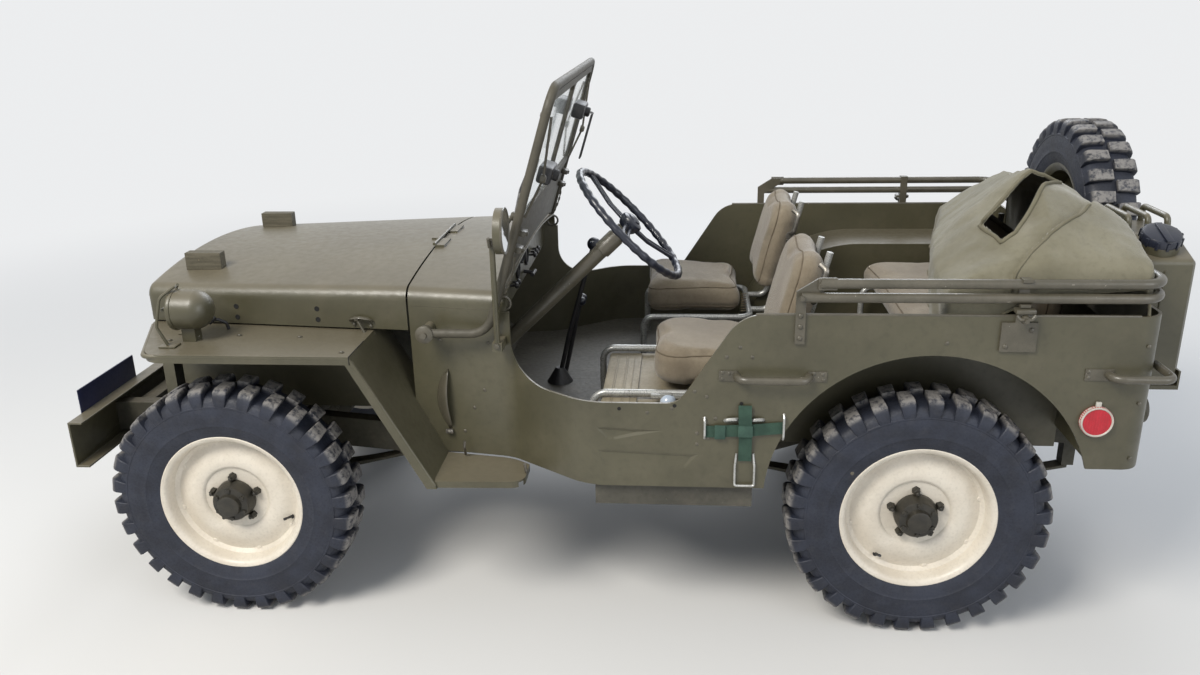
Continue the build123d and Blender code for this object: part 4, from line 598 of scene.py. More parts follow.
def slab(outline, thick, edge, place, rise=None):
    """A closed form on an outline, with rounded edges. rise lifts its upper face at a point."""
    wide = max(abs(p.x) for p in outline)
    tall = max(abs(p.y) for p in outline)
    levels = []
    for k in range(5):
        turn = pi / 8 * k
        levels.append((edge * (1 - sin(turn)), edge * (1 - cos(turn))))
    levels += [(inset, thick - height) for inset, height in reversed(levels)]
    shape = Shape()
    rows = []
    for inset, height in levels:
        row = []
        for p in outline:
            q = Vector((p.x * (1 - inset / wide), p.y * (1 - inset / tall)))
            lift = rise(q) if rise and height > thick / 2 else 0
            row.append(within(place, q.x, q.y, height + lift))
        rows.append(row)
    return shape.grid(rows, close_points=True, caps=True)


PUFF_STEPS = 20


def puff(obj, voxel):
    """Swells a closed mesh as filled cloth, with each point moved by the cap at most."""
    remesh = obj.modifiers.new("remesh", "REMESH")
    remesh.mode = "VOXEL"
    remesh.voxel_size = voxel * MM
    bake(obj)
    rest = [vert.co.copy() for vert in obj.data.vertices]
    cloth = obj.modifiers.new("cloth", "CLOTH")
    cloth.settings.use_pressure = True
    cloth.settings.uniform_pressure_force = 3.4
    cloth.settings.mass = 0.3
    cloth.settings.quality = 5
    cloth.settings.tension_stiffness = 15
    cloth.settings.compression_stiffness = 15
    cloth.settings.bending_stiffness = 0.4
    cloth.settings.shrink_min = -0.02
    cloth.settings.effector_weights.gravity = 0
    cloth.point_cache.frame_start, cloth.point_cache.frame_end = 1, PUFF_STEPS
    for step in range(1, PUFF_STEPS + 1):
        bpy.context.scene.frame_set(step)
    bake(obj)
    bpy.context.scene.frame_set(1)
    for vert, start in zip(obj.data.vertices, rest):
        move = vert.co - start
        if move.length > SWELL_CAP * MM:
            vert.co = start + move.normalized() * SWELL_CAP * MM


def bake(obj):
    """Writes what the modifiers make into the mesh itself."""
    made = bpy.data.meshes.new_from_object(obj.evaluated_get(bpy.context.evaluated_depsgraph_get()))
    obj.modifiers.clear()
    obj.data = made


CREASE_DEEP = 2.2
CREASE_WIDE = 6.0


def crease(obj, place, levels):
    """Sewn channels at levels of the slab's thickness, pulled toward its middle."""
    inverse = place.inverted()
    for vert in obj.data.vertices:
        local = inverse @ vert.co / MM
        pull = max(CREASE_DEEP * max(0.0, 1 - ((local.z - level) / CREASE_WIDE) ** 2) for level in levels)
        flat = Vector((local.x, local.y, 0))
        if pull and flat.length > 60:
            vert.co = place @ ((local - flat.normalized() * pull) * MM)


def ray_tree(obj):
    """A tree that finds where rays meet a piece."""
    mesh = obj.data
    return BVHTree.FromPolygons([vert.co for vert in mesh.vertices],
        [face.vertices for face in mesh.polygons])


def skin_points(obj, place, level, count, reach=600):
    """Points and normals round the pad at a level of its thickness, found by rays from outside."""
    tree = ray_tree(obj)
    found = []
    for k in range(count):
        turn = 2 * pi * k / count
        out = Vector((cos(turn), sin(turn), 0))
        start = place @ ((out * reach + Vector((0, 0, level))) * MM)
        point, normal = tree.ray_cast(start, (place.to_3x3() @ -out).normalized())[:2]
        if point is not None:
            found.append((point, normal))
    return found


def cord_ring(points, radius, sides=6):
    """A closed thin cord through points in metres."""
    side, rows = None, []
    for k, point in enumerate(points):
        along = (points[(k + 1) % len(points)] - points[k - 1]).normalized()
        side = along.orthogonal() if side is None else side - along * side.dot(along)
        side.normalize()
        other = along.cross(side)
        rows.append([point + (side * c + other * s) * radius * MM for c, s in circle(sides)])
    return Shape().grid(rows, close_rows=True, close_points=True)


SWELL_ROOM = 13
SWELL_CAP = 16
FLAT_REST = 10


def pad(name, node, outline, thick, place, rise=None, edge=26, voxel=12.5, seams=()):
    """One filled cushion with its seams, standing for a CAD node."""
    wide, tall = max(abs(p.x) for p in outline), max(abs(p.y) for p in outline)
    inner = [Vector((p.x * (1 - SWELL_ROOM / wide), p.y * (1 - SWELL_ROOM / tall))) for p in outline]
    low = place @ Matrix.Translation(Vector((0, 0, FLAT_REST)) * MM)
    obj = slab(inner, thick - 2 * SWELL_ROOM, edge, low, rise).piece(name, seat_cloth, angle=60,
        replaces=[node])
    puff(obj, voxel)
    inverse = place.inverted()
    for vert in obj.data.vertices:
        local = inverse @ vert.co / MM
        if local.z < 0:
            vert.co = within(place, local.x, local.y, local.z * 0.1)
    crease(obj, place, seams)
    subdivide = obj.modifiers.new("subdivide", "SUBSURF")
    subdivide.levels = subdivide.render_levels = 1
    bake(obj)
    obj.data.materials.clear()
    obj.data.materials.append(seat_cloth)
    for face in obj.data.polygons:
        face.use_smooth = True
    for n, level in enumerate(seams):
        ring = skin_points(obj, place, level, 150)
        if len(ring) > 140:
            welt = cord_ring([point + normal * 0.6 * MM for point, normal in ring], 2.3)
            welt.piece(f"{name}_welt_{n}", welt_cloth, angle=80)
    return obj


SEAT_Y = 365.0
PAD_LOW = 711.6
SEAT_REAR = 1588.0
PAD_WIDE = 406.0
for name, side, front, corner in (("driver", -1, 1250, 95), ("passenger", 1, 1205, 40)):
    long = SEAT_REAR - front
    seat_place = Matrix.Translation(at((front + SEAT_REAR) / 2, side * SEAT_Y, PAD_LOW))
    outline = round_rect(long, PAD_WIDE, [corner, 30, 30, corner])
    pad(f"{name}_cushion", "front_cushions", outline, 112, seat_place,
        rise=lambda q, long=long: 12 - 26 * (q.x + long / 2) / long, seams=[92] if side < 0 else [20, 88])


def leaning(x, z, tall, degrees, side=0.0):
    """The place of a back that leans from a station and height: X across, Y up its slope, Z forward."""
    up = Vector((sin(radians(degrees)), 0, cos(radians(degrees))))
    ahead = Vector((-up.z, 0, up.x))
    turn = Matrix((Vector((0, -1, 0)), up, ahead)).transposed().to_4x4()
    return Matrix.Translation(at(x, side, z) + up * tall / 2 * MM) @ turn


BACK_TALL = 361.0
for name, side in SEATS:
    back_place = leaning(1681, 768.5, BACK_TALL, 14.4, side * SEAT_Y)
    pad(f"{name}_back", "front_backs", round_rect(PAD_WIDE, BACK_TALL, [30, 30, 88, 88]), 87, back_place,
        seams=[66])
rear_place = Matrix.Translation(at(2195, 0, 759.6))
pad("rear_cushion", "rear_seat_pads", round_rect(370, 878, [40, 30, 30, 40]), 94, rear_place, voxel=16.0,
    seams=[74])
pad("rear_back", "rear_seat_pads", round_rect(878, 275, [30, 30, 42, 42]), 62, leaning(2454, 805, 275, 3.6),
    edge=20, voxel=16.0, seams=[44])


# Canvas cover: one sheet from its front hem over the ridge and down behind the bows
# Columns are place across, then station and height of the foot, front edge, ridge, rear edge and rear hem
CANVAS_ROWS = [
    (-724, (2054, 906), (2058, 914), (2290, 1050), (2536, 1072), (2560, 906)),
    (-710, (2052, 915), (2050, 1058), (2296, 1140), (2552, 1122), (2562, 915)),
    (-600, (2060, 905), (2048, 1064), (2322, 1226), (2554, 1166), (2562, 905)),
    (-475, (2075, 903), (2066, 1086), (2330, 1296), (2548, 1196), (2560, 903)),
    (-350, (2095, 903), (2084, 1100), (2332, 1322), (2544, 1196), (2560, 903)),
    (-180, (2140, 903), (2128, 1090), (2372, 1284), (2546, 1188), (2560, 903)),
    (0, (2175, 903), (2188, 1082), (2400, 1252), (2548, 1178), (2560, 903)),
    (180, (2225, 903), (2238, 1070), (2440, 1222), (2550, 1154), (2558, 903)),
    (350, (2265, 903), (2282, 1060), (2480, 1192), (2552, 1128), (2558, 903)),
    (484, (2295, 903), (2312, 1024), (2490, 1126), (2552, 1084), (2558, 903))]
WINDOW = [Vector(spot) for spot in ((2183, -490), (2203, -603), (2240, -588), (2421, -350), (2310, -390))]
WINDOW_LOW = 1000
PLEAT = [Vector(spot) for spot in ((2196, -716), (2287, -656), (2391, -579), (2452, -505))]
TAUT = 0.6


def smooth_line(points, count):
    """Points spaced evenly along a smooth curve through the given ones."""
    ends = [2 * points[0] - points[1]] + points + [2 * points[-1] - points[-2]]
    fine = []
    for a, b, c, d in zip(ends, ends[1:], ends[2:], ends[3:]):
        for k in range(24):
            t = k / 24
            curve = 0.5 * (2 * b + (c - a) * t + (2 * a - 5 * b + 4 * c - d) * t * t + (3 * b - a - 3 * c + d)
                * t**3)
            fine.append(curve.lerp(b.lerp(c, t), TAUT))
    fine.append(points[-1])
    reach = [0.0]
    for one, two in zip(fine, fine[1:]):
        reach.append(reach[-1] + (two - one).length)
    out, k = [], 0
    for n in range(count):
        goal = reach[-1] * n / (count - 1)
        while k < len(reach) - 2 and reach[k + 1] < goal:
            k += 1
        share = (goal - reach[k]) / max(reach[k + 1] - reach[k], 1e-9)
        out.append(fine[k].lerp(fine[k + 1], min(share, 1.0)))
    return out


def nearest(point, start, end):
    """The point of a segment that lies nearest to a point in plan."""
    run = end - start
    return start + run * max(0.0, min(1.0, (point - start).dot(run) / run.length_squared))


def line_gap(point, line):
    """How near a point in plan lies to an open line, and 1 where it is to the right of it."""
    best, side = 1e9, 0.0
    for start, end in zip(line, line[1:]):
        run = end - start
        off = point - nearest(point, start, end)
        if off.length < best:
            best = off.length
            side = 1.0 if run.x * off.y - run.y * off.x < 0 else -1.0
    return best, side


def canvas_sheet():
    """The draped cover with its folds, its window cut out, and its hems."""
    across, along = 132, 150
    columns = list(zip(*[[Vector((x, row[0], z)) for x, z in row[1:]] for row in CANVAS_ROWS]))
    columns = [smooth_line(list(column), across) for column in columns]
    rows = [smooth_line([column[k] for column in columns], along) for k in range(across)]
    shape = Shape()
    points = []
    for row in rows:
        line = []
        for k, p in enumerate(row):
            share = k / (along - 1)
            before, after = row[max(k - 1, 0)], row[min(k + 1, along - 1)]
            out = Vector((before.z - after.z, 0, after.x - before.x)).normalized()
            sag = 11 * noise.noise(Vector((p.x * 0.004, p.y * 0.0055, 1.3))) - 3
            fold = 7.0 * noise.noise(Vector((p.x * 0.010 + p.y * 0.004, p.y * 0.016, p.z * 0.006)))
            fine = 2.2 * noise.noise(Vector((p.x * 0.035, p.y * 0.03, p.z * 0.03)))
            drop = max(0.0, 1 - share * 4.2) ** 1.5
            ripple = 9 * sin(p.y * 0.034 + 1.7 * noise.noise(Vector((p.y * 0.01, 0, 4)))) * drop
            near, side = line_gap(Vector((p.x, p.y)), PLEAT)
            pleat = 0.0
            if share < 0.86:
                pleat = 13 * max(0.0, 1 - near / 150) if side > 0 else -6 * max(0.0, 1 - near / 34)
            line.append(p + out * (sag + fold + fine + ripple + pleat))
        points.append(line)
    shape.grid([[at(*p) for p in line] for line in points])
    mesh = shape.mesh
    edges = list(zip(WINDOW, WINDOW[1:] + WINDOW[:1]))

    def plan(co):
        """The station and width of a point of the mesh."""
        return Vector((co.x / MM - AXLE_X, co.y / MM))

    def in_window(face):
        """Whether a face lies inside the window's outline, on the upper layer."""
        middle = face.calc_center_median()
        spot = plan(middle)
        return middle.z > WINDOW_LOW * MM and all((b - a).cross(spot - a) > 0 for a, b in edges)

    gone = [face for face in mesh.faces if in_window(face)]
    rim = {vert for face in gone for vert in face.verts}
    bmesh.ops.delete(mesh, geom=gone, context="FACES")
    for vert in rim:
        if vert.is_valid and vert.link_faces:
            spot = plan(vert.co)
            spot = min((nearest(spot, a, b) for a, b in edges), key=lambda near: (near - spot).length)
            vert.co.x, vert.co.y = (spot.x + AXLE_X) * MM, spot.y * MM
    obj = shape.piece("canvas_sheet", canvas_cloth, angle=80, replaces=["canvas_cover"])
    area = sum(face.area for face in obj.data.polygons)
    tree = ray_tree(obj)

    def below(spots):
        """The points of the sheet under places in plan, in metres."""
        hits = [tree.ray_cast(at(spot.x, spot.y, 1500), Vector((0, 0, -1)))[0] for spot in spots]
        return [hit for hit in hits if hit is not None]

    middle = sum(WINDOW, Vector((0, 0))) / len(WINDOW)
    spots = [a.lerp(b, k / 12) for a, b in edges for k in range(12)]
    spots = [spot + (spot - middle).normalized() * 9 for spot in spots]
    forms = [("window", cord_ring([hit + Vector((0, 0, 2.2)) * MM for hit in below(spots)], 6.0, 8))]
    spots = [a.lerp(b, k / 8) + Vector((4, -5)) for a, b in zip(PLEAT, PLEAT[1:]) for k in range(8)]
    forms.append(("fold", Shape().tube([(*plan(hit), hit.z / MM) for hit in below(spots)], 4.6)))
    for name, line in (("front", [row[0] for row in points]), ("left", points[0]), ("right", points[-1])):
        forms.append((name, Shape().tube(line[::2], 4.2)))
    hems = [form.piece(f"canvas_{name}_hem", canvas_hem, angle=80) for name, form in forms]
    thick = obj.modifiers.new("thick", "SOLIDIFY")
    thick.thickness = 1.6 * MM
    thick.offset = -1
    return obj, area, hems


cover, cover_area, cover_hems = canvas_sheet()


# Side panels: rows of fasteners, drain holes, bow clamps, rail beads and reflector rims
def fasteners(name, rows, facing, radius, height, material=tube_paint, sides=6):
    """One piece of bolts, or of rivets when sides is 0, that all face the same way."""
    shape = Shape()
    for point in rows:
        shape.bolt(point, facing, radius, height, sides)
    return shape.piece(name, material, angle=40)


WALL_Y = BODY_HALF + 0.2
for word, side in SIDES:
    out = (0, side, 0)
    rivets = [(x, side * WALL_Y, z) for x, z in ((1262, 715), (1330, 728), (1392, 780), (1418, 700),
        (1425, 765), (1450, 700), (1400, 655), (1400, 622), (1430, 640), (1477, 880), (1512, 908),
        (1545, 880), (1830, 540), (2050, 925), (2560, 600), (2560, 760), (2560, 920))]
    fasteners(f"rivets_{word}", rivets, out, 5.5, 2.6, sides=0)
    # Dark discs stand for the drain holes: painted shade inside them.
    holes = Shape()
    for x, z in ((1185, 725), (1338, 736), (1520, 745)):
        holes.lathe([(5.5, 0.3), (0, 0.3)], aim((x, side * WALL_Y, z), out), 14)
    holes.piece(f"drain_holes_{word}", hole_dark)
    plates = [(x, side * (WALL_Y + 3), z) for x, z in ((1466, 836), (1466, 818), (1484, 834), (1710, 836),
        (1733, 834), (1736, 818), (2418, 834), (2418, 850), (2470, 842))]
    fasteners(f"handle_screws_{word}", plates, out, 5.5, 3.0, sides=0)
    strip = [(1667, side * (WALL_Y + 8), z) for z in (938, 970, 1000)]
    strip += [(2196, side * (WALL_Y + 8), 920), (2258, side * (WALL_Y + 8), 965)]
    fasteners(f"bracket_rivets_{word}", strip, out, 7.0, 4.5, sides=0)
    wing = Shape().tube([(2228, side * 766, 1004), (2228, side * 794, 1004)], 6, sides=12)
    wing.lathe([(0, 0), (12, 0), (12, 6), (9, 13), (0, 14)], aim((2228, side * 772, 1004), out), 16)
    wing.tube([(2205, side * 780, 1016), (2214, side * 783, 1006), (2242, side * 783, 1006),
        (2251, side * 780, 1016)], 5, 6, sides=12, flat=0.6)
    wing.box((2203, side * 748, 1018), (2253, side * 780, 1030), 3)
    wing.piece(f"clamp_wing_{word}")
    bow = Shape().box((1707, side * 747, 1072), (1757, side * 755, 1106), 3)
    bow.bolt((1718, side * 756, 1089), out, 8, 6)
    bow.bolt((1667, side * 764, 1052), out, 7, 5)
    bow.piece(f"bow_ends_{word}")
    # The rail bead takes the lighter tube paint: a painted highlight along the rolled rim.
    bead = Shape()
    edge = [(1552, side * 733, 999), (1700, side * 733, 999.6), (2000, side * 733, 999.6),
        (2530, side * 733, 999.6)]
    bead.tube(edge, 4.6)
    bead.piece(f"rail_bead_{word}")
    ring = Shape().lathe([(37, 12), (39, 14.5), (41, 14.5), (43, 11), (43, 2), (41, 0)],
        aim((TAIL - 145, side * (BODY_HALF + 0.3), 710), out), 48)
    ring.box((TAIL - 152, side * (BODY_HALF + 1), 750), (TAIL - 138, side * (BODY_HALF + 9), 766), 2)
    ring.piece(f"reflector_rim_{word}", pale_rim)


# Webbing straps and their wire loops on the left side
def on_side(*points):
    """Points beside the left panel: station, distance out from it and height."""
    return [(x, -(BODY_HALF + 1 + out), z) for x, out, z in points]


def strap(points, wide, thick=3.0):
    """A flat strap along points, its wide side across the run."""
    shape, rows = Shape(), []
    line = [at(*point) for point in points]
    lift = Vector((0, -1, 0)) * thick * MM
    for spot, before, after in zip(line, line[:1] + line[:-1], line[1:] + line[-1:]):
        side = Vector((0, 1, 0)).cross(after - before).normalized()
        half = side * wide / 2 * MM
        rows.append([spot - half, spot + half, spot + half + lift, spot - half + lift])
    return shape.grid(rows, close_points=True, caps=True)


strap(on_side((1421, 1, 662), (1455, 4, 663), (1490, 4, 666), (1540, 9, 670), (1590, 4, 673), (1636, 1, 676)),
    34).piece("strap_across", webbing)
strap(on_side((1530, 5, 742), (1530, 12, 716), (1532, 13, 672), (1533, 9, 630), (1533, 3, 575)),
    36).piece("strap_down", webbing)
loops = Shape()
for x, top in ((1506, 1510), (1560, 1556)):
    loops.tube(on_side((top, 0, 596), (x, 6, 560), (x, 6, 512)), 3.2, 8)
loops.tube(on_side((1506, 6, 512), (1506, 9, 500), (1560, 9, 500), (1560, 6, 512)), 3.2, 6)
for x, high in ((1421, 704), (1636, 716)):
    loops.tube(on_side((x, 0, 640), (x, 10, 652), (x, 10, high - 10), (x, 0, high)), 3.2, 8)
for x0, x1 in ((1476, 1512), (1548, 1580)):
    loops.tube(on_side((x0, 0, 694), (x0 + 6, 8, 700), (x1 - 6, 8, 702), (x1, 0, 698)), 5, 8)
loops.piece("strap_loops", bright_tube)
buckle = Shape()
buckle.box(*on_side((1448, 12, 642), (1478, 7, 684)), 2)
buckle.box(*on_side((1512, 19, 652), (1552, 14, 686)), 2)
buckle.piece("strap_buckles", webbing_dark)


# Windscreen: arms, clamps, wipers, catches and the motor on the inner frame
SCREEN_FOOT = Vector((798, 0, 890))
SCREEN_UP = Vector((214, 0, 688)).normalized()
SCREEN_OUT = Vector((-SCREEN_UP.z, 0, SCREEN_UP.x))


def on_screen(y, up, out=0.0):
    """A point on the windscreen: across, up its slope and ahead of it, as station, width and height."""
    point = SCREEN_FOOT + SCREEN_UP * up + SCREEN_OUT * out
    return (point.x, y, point.z)


def screen_aim(y, up, out=0.0, facing=SCREEN_OUT):
    """A place on the windscreen, looking ahead or another way."""
    return aim(on_screen(y, up, out), facing)


def screen_tube(shape, points, *sizes, **options):
    """A tube along points on the windscreen."""
    return shape.tube([on_screen(*point) for point in points], *sizes, **options)


CLAMP = [(13, 0), (13, 8), (9, 12), (0, 12)]
screen_bits = Shape()
for side in LEFT_AND_RIGHT:
    for up in (150, 250, 318):
        screen_bits.bolt(on_screen(side * 560, up, 3), SCREEN_OUT, 6, 4)
    y = side * 575
    screen_tube(screen_bits, [(y, 345, 22), (y, 300, 34), (y, 250, 22)], 5, 12)
    screen_bits.lathe(CLAMP, screen_aim(y, 352, 12), 16).lathe(CLAMP, screen_aim(y, 246, 3), 16)
    screen_bits.lathe([(26, -4), (26, 3), (20, 6), (11, 8), (9, 14), (0, 15)],
        aim((614, side * 603, 890), (0, side, 0)), 28)
screen_tube(screen_bits, [(0, 335, 11), (0, 690, 11)], 4)
screen_bits.piece("screen_fittings", body="windscreen")
wipers = Shape()
for y, up in ((-440, 470), (180, 585)):
    motor = screen_aim(y, up, -9, -SCREEN_OUT)
    wipers.box((-58, -26, 0), (58, 26, 42), 8, place=motor)
    wipers.lathe([(17, 40), (17, 54), (12, 58), (0, 58)], motor, 20)
    wipers.lathe([(12, -30), (12, -20), (8, -18)], motor, 20)
    screen_tube(wipers, [(y, up, 22), (y - 50, up - 60, 26), (y - 90, up - 150, 16)], 3.2, 16)
    screen_tube(wipers, [(y - 60, up - 20, 13), (y - 110, up - 205, 13)], 4.6, flat=0.5)
for y in (330, 364):
    screen_tube(wipers, [(y, 560, -66), (y, 400, -66)], 3.4)
screen_tube(wipers, [(322, 400, -66), (372, 400, -66)], 3.4)
screen_tube(wipers, [(180, 585, -52), (290, 572, -66), (372, 560, -66)], 4.2, 12)
wipers.piece("wipers", black_paint, "windscreen")
arms = Shape()
for side in LEFT_AND_RIGHT:
    y = side * 545
    screen_tube(arms, [(y, 640, -12), (y, 470, -34), (y, 350, -12)], 4.5, 20, flat=0.6)
    arms.lathe([(13, -4), (13, 7), (8, 12), (0, 12)], screen_aim(y, 470, -30, -SCREEN_OUT), 16)
    for up in (250, 300):
        arms.box((-20, -9, 0), (20, 9, 24), 3, place=screen_aim(side * 520, up, -3, -SCREEN_OUT))
        arms.bolt(on_screen(side * 520, up, -26), -SCREEN_OUT, 7, 6)
    y = side * 556
    chain = [(y, 236 - 12 * k, -14 - 6 * sin(pi * k / 9)) for k in range(10)] + [(y, 120, -14)]
    for k in range(10):
        screen_tube(arms, chain[k:k + 2], 3.2 if k % 2 else 5.0, sides=6, flat=0.5)
    arms.hoop(screen_aim(y, 92, -18, (0, 1, 0)), 20, 4, 24)
arms.piece("screen_arms", body="windscreen")
rings = Shape()
for up in (410, 640):
    rings.lathe([(9, -5), (9, 4), (5, 6), (0, 6)], screen_aim(-556, up, 12), 14)
rings.piece("screen_studs", steel, "windscreen")


# Hood, fenders and cowl: latches, hole pairs, screws, seams, the tool bracket and the step hooks
LEG_TOP = 432.0
POST_X = 832.0
HOOD_FRONT = -305
HOOD_LONG = 847
HOOD_FRONT_HALF = 430
COWL_FRONT = 548
COWL_FRONT_HALF = 515


def on_hood(side, x, out, z):
    """A point beside the hood: station, distance out from its side and height."""
    half = HOOD_FRONT_HALF + (COWL_FRONT_HALF - HOOD_FRONT_HALF) * (x - HOOD_FRONT) / HOOD_LONG
    return (x, side * (half + out), z)


def cowl_half(x):
    """Half the cowl's width at a station."""
    return COWL_FRONT_HALF + 50 * (x - COWL_FRONT) / 302


for word, side in SIDES:
    latch = Shape()
    face = (0, side, 0)
    arch = [on_hood(side, *spot) for spot in ((368, 2, 897), (372, 14, 908), (398, 19, 914), (424, 14, 908),
        (430, 2, 898))]
    latch.tube(arch, 9, 14, sides=10, flat=0.45, up=(0, 0, 1))
    latch.bolt(on_hood(side, 374, 4, 886), face, 5, 3, 0)
    latch.bolt(on_hood(side, 426, 4, 884), face, 5, 3, 0)
    latch.piece(f"hood_arch_{word}", body="hood")
    latch = Shape()
    latch.tube([on_hood(side, 388, 16, 908), on_hood(side, 424, 24, 842)], 4.2)
    latch.lathe([(8, -6), (8, 6), (4, 8), (0, 8)], aim(on_hood(side, 388, 16, 908), (1, 0, 0)), 14)
    catch = [on_hood(side, *spot) for spot in ((408, 8, 840), (412, 26, 826), (434, 26, 832), (430, 8, 846))]
    latch.tube(catch, 4.6, 8)
    latch.box((402, on_hood(side, 418, -2, 0)[1], 832), (438, on_hood(side, 418, 9, 0)[1], 862), 3)
    latch.piece(f"hood_latch_{word}")
    # Dark discs in ringed rims stand for the hood's holes: painted shade inside them.
    holes = Shape()
    for x, z in ((-6, 928), (-6, 894), (258, 930), (258, 896)):
        place = aim(on_hood(side, x, 0.4, z), (-0.1, side, 0))
        holes.lathe([(8, -0.1), (8, 0.6), (5.5, 0.9), (5, 0.1), (0, 0.1)], place, 16)
    holes.piece(f"hood_holes_{word}", hole_dark, "hood")
    screws = [(-150, side * 610, 868.2), (40, side * 560, 868.2), (230, side * 570, 868.2),
        (400, side * 700, 868.2)]
    fasteners(f"fender_screws_{word}", screws, (0, 0, 1), 6.0, 4.0)
    seam = Shape().tube([(LEG_TOP, side * 738.0, 845), (LEG_TOP, side * 738.0, 869),
        (LEG_TOP, side * 600, 868.6)], 1.2, 2, sides=6)
    seam.piece(f"fender_seam_{word}", hole_dark)
    if side < 0:
        scoop, rows = Shape(), []
        for k in range(15):
            t = k / 14
            z = 752 - 190 * t
            left = 652 - 34 * sin(pi * min(1.0, t * 1.02)) ** 0.8
            wide = 8 + 30 * sin(pi * t) ** 0.7
            row = []
            for f in (0, 0.12, 0.3, 0.55, 0.8, 1.0):
                x = left + wide * f
                out = cowl_half(x) + 1 + 26 * sin(pi / 2 * f) * sin(pi * t) ** 0.5
                row.append(at(x, side * out, z + 8 * f))
            rows.append(row)
        scoop.grid(rows)
        bracket = scoop.piece("tool_bracket", angle=70)
        plate = bracket.modifiers.new("plate", "SOLIDIFY")
        plate.thickness = 2.2 * MM
        tip = Shape().box((640, -548, 552), (664, -536, 566), 3)
        tip.bolt((652, -548, 559), (0, -1, 0), 5, 3, 0)
        tip.piece("tool_bracket_tip", steel)
    pins = Shape()
    for x, z in ((700, 560), (735, 640), (770, 700), (640, 850), (790, 850), (845, 905)):
        pins.bolt((x, side * (cowl_half(x) + 0.3), z), (-0.16, side, 0), 5.5, 3, 0)
    pins.piece(f"cowl_rivets_{word}")
    edge = Shape().tube([(-286, side * 452, 861.6), (-172, side * 730.6, 861.6), (429, side * 730.6, 861.6),
        (645, side * 730.6, 470)], 7, 34, sides=14)
    edge.piece(f"fender_edge_{word}", paint)
    foot = Shape().tube([(700, side * 556, 489), (702, side * 574, 520), (704, side * 572, 540)], 4, 8)
    foot.tube([(898, side * 640, 476), (904, side * 668, 492), (902, side * 676, 520)], 4.5, 10)
    foot.piece(f"step_hooks_{word}", steel)

# Blackout lamp: rim, hood over the slot, guard strap and its connector with a short lead
lamp = Shape()
lamp_axis = aim((-115, -600, 962), (-1, 0, 0))
lamp.lathe([(52, -2), (60, -2), (62, 3), (60, 10), (54, 13), (50, 10), (44, 6), (30, 3), (0, 2)], lamp_axis,
    48)
lamp.box((-46, 6, 8), (46, 16, 30), 5, place=lamp_axis)
lamp.piece("blackout_rim", paint)
Shape().box((-36, -10, 4), (36, 4, 10), 3, place=lamp_axis).piece("blackout_slot", lens)
guard = Shape()
for y in (-34, 34):
    guard.tube([(-128, -600 + y * 1.9, 875), (-150, -600 + y * 2.1, 930), (-140, -600 + y * 1.4, 1010),
        (-110, -600 + y * 0.3, 1034)], 4.5, 30)
guard.box((-150, -680, 868.5), (-100, -640, 873), 1.5)
guard.box((-150, -560, 868.5), (-100, -520, 873), 1.5)
guard.bolt((-75, -600, 868.3), (0, 0, 1), 14, 12)
guard.piece("blackout_guard", paint)
plug = Shape().lathe([(12, 0), (12, 20), (9, 26), (0, 26)], aim((-60, -545, 905), (0.6, 0.4, 0.5)), 16)
plug.tube([(-20, -500, 869), (-22, -505, 890), (-40, -520, 905), (-54, -540, 908)], 5, 14, sides=10)
plug.piece("blackout_lead", black_paint)

# Headlamps and tail lamps: the rim and glass of each
for side in LEFT_AND_RIGHT:
    place = aim((-287, side * 308, 790), (-1, 0, 0))
    Shape().lathe([(86, -2), (88, 2), (86, 5), (78, 6), (74, 2), (74, -3)], place,
        64).piece(f"lamp_bezel_{side}")
    Shape().lathe([(78, 0), (70, 3), (50, 7), (25, 9), (0, 10)], place, 64).piece(f"lamp_glass_{side}", lens)
    tail = aim((TAIL + 34.5, side * 600, 690), (1, 0, 0))
    Shape().lathe([(30, 0), (28, 3), (0, 5)], tail, 40).piece(f"tail_glass_{side}", red_lens)
    Shape().lathe([(38.2, -4), (39, 2), (36, 4), (30, 3), (30, 0)], tail, 40).piece(f"tail_rim_{side}")

# Bumper bolts and the front plate's screws
bolts = [(-520.3, side * 348.5, z) for side in LEFT_AND_RIGHT for z in (495, 555)]
fasteners("bumper_bolts", bolts, (-1, 0, 0), 10, 7)
plate_screws = [(-524.3, y, z) for y in (-525, -230) for z in (562, 663)]
fasteners("plate_screws", plate_screws, (-1, 0, 0), 4.5, 2.2, steel, sides=0)

# Mirror: rim, glass and the post's bolts
mirror = aim((POST_X + 50, -688, 1215), (1, 0, 0))
Shape().lathe([(62, -4), (64, -1), (63, 2), (57, 2.4), (56, 0.6)], mirror, 48).piece("mirror_rim")
Shape().lathe([(56.5, 0.8), (0, 0.8)], mirror, 48).piece("mirror_glass", mirror_glass)
post = Shape()
for z in (868, 1172):
    post.bolt((POST_X, -634, z), (0, -1, 0), 8, 8)
post.tube([(POST_X - 4, -640, 1158), (POST_X - 4, -652, 1186)], 5)
post.piece("mirror_bolts")


# Steering wheel: waved grip, spokes and horn button, on the column's axis
turn_axis = aim((1200, -370, 1165), (cos(radians(43.8)), 0, sin(radians(43.8))))
grip = Shape().hoop(turn_axis, 208.0, 11.2, 180, sides=14, swell=1.1, waves=36)
for k in range(3):
    arm = turn_axis @ Matrix.Rotation(radians(60 + 120 * k), 4, "Z")
    for off in (-8, 8):
        spoke = ((26, off, -6, 6.5), (90, off * 1.15, -10, 5.5), (160, off * 1.1, -4, 5.2),
            (204, off, 0, 6.0))
        grip.grid([[within(arm, x, y + radius * c, z + radius * s) for c, s in circle(10)]
            for x, y, z, radius in spoke], close_points=True, caps=True)
grip.lathe([(0, -20), (26, -20), (30, -14), (33, -4), (36, 4), (34, 12), (28, 16), (22, 17), (20, 21),
    (12, 24), (0, 25)], turn_axis, 40)
grip.piece("steering_wheel_grip", black_gloss, "steering_wheel", replaces=["steering_wheel"])
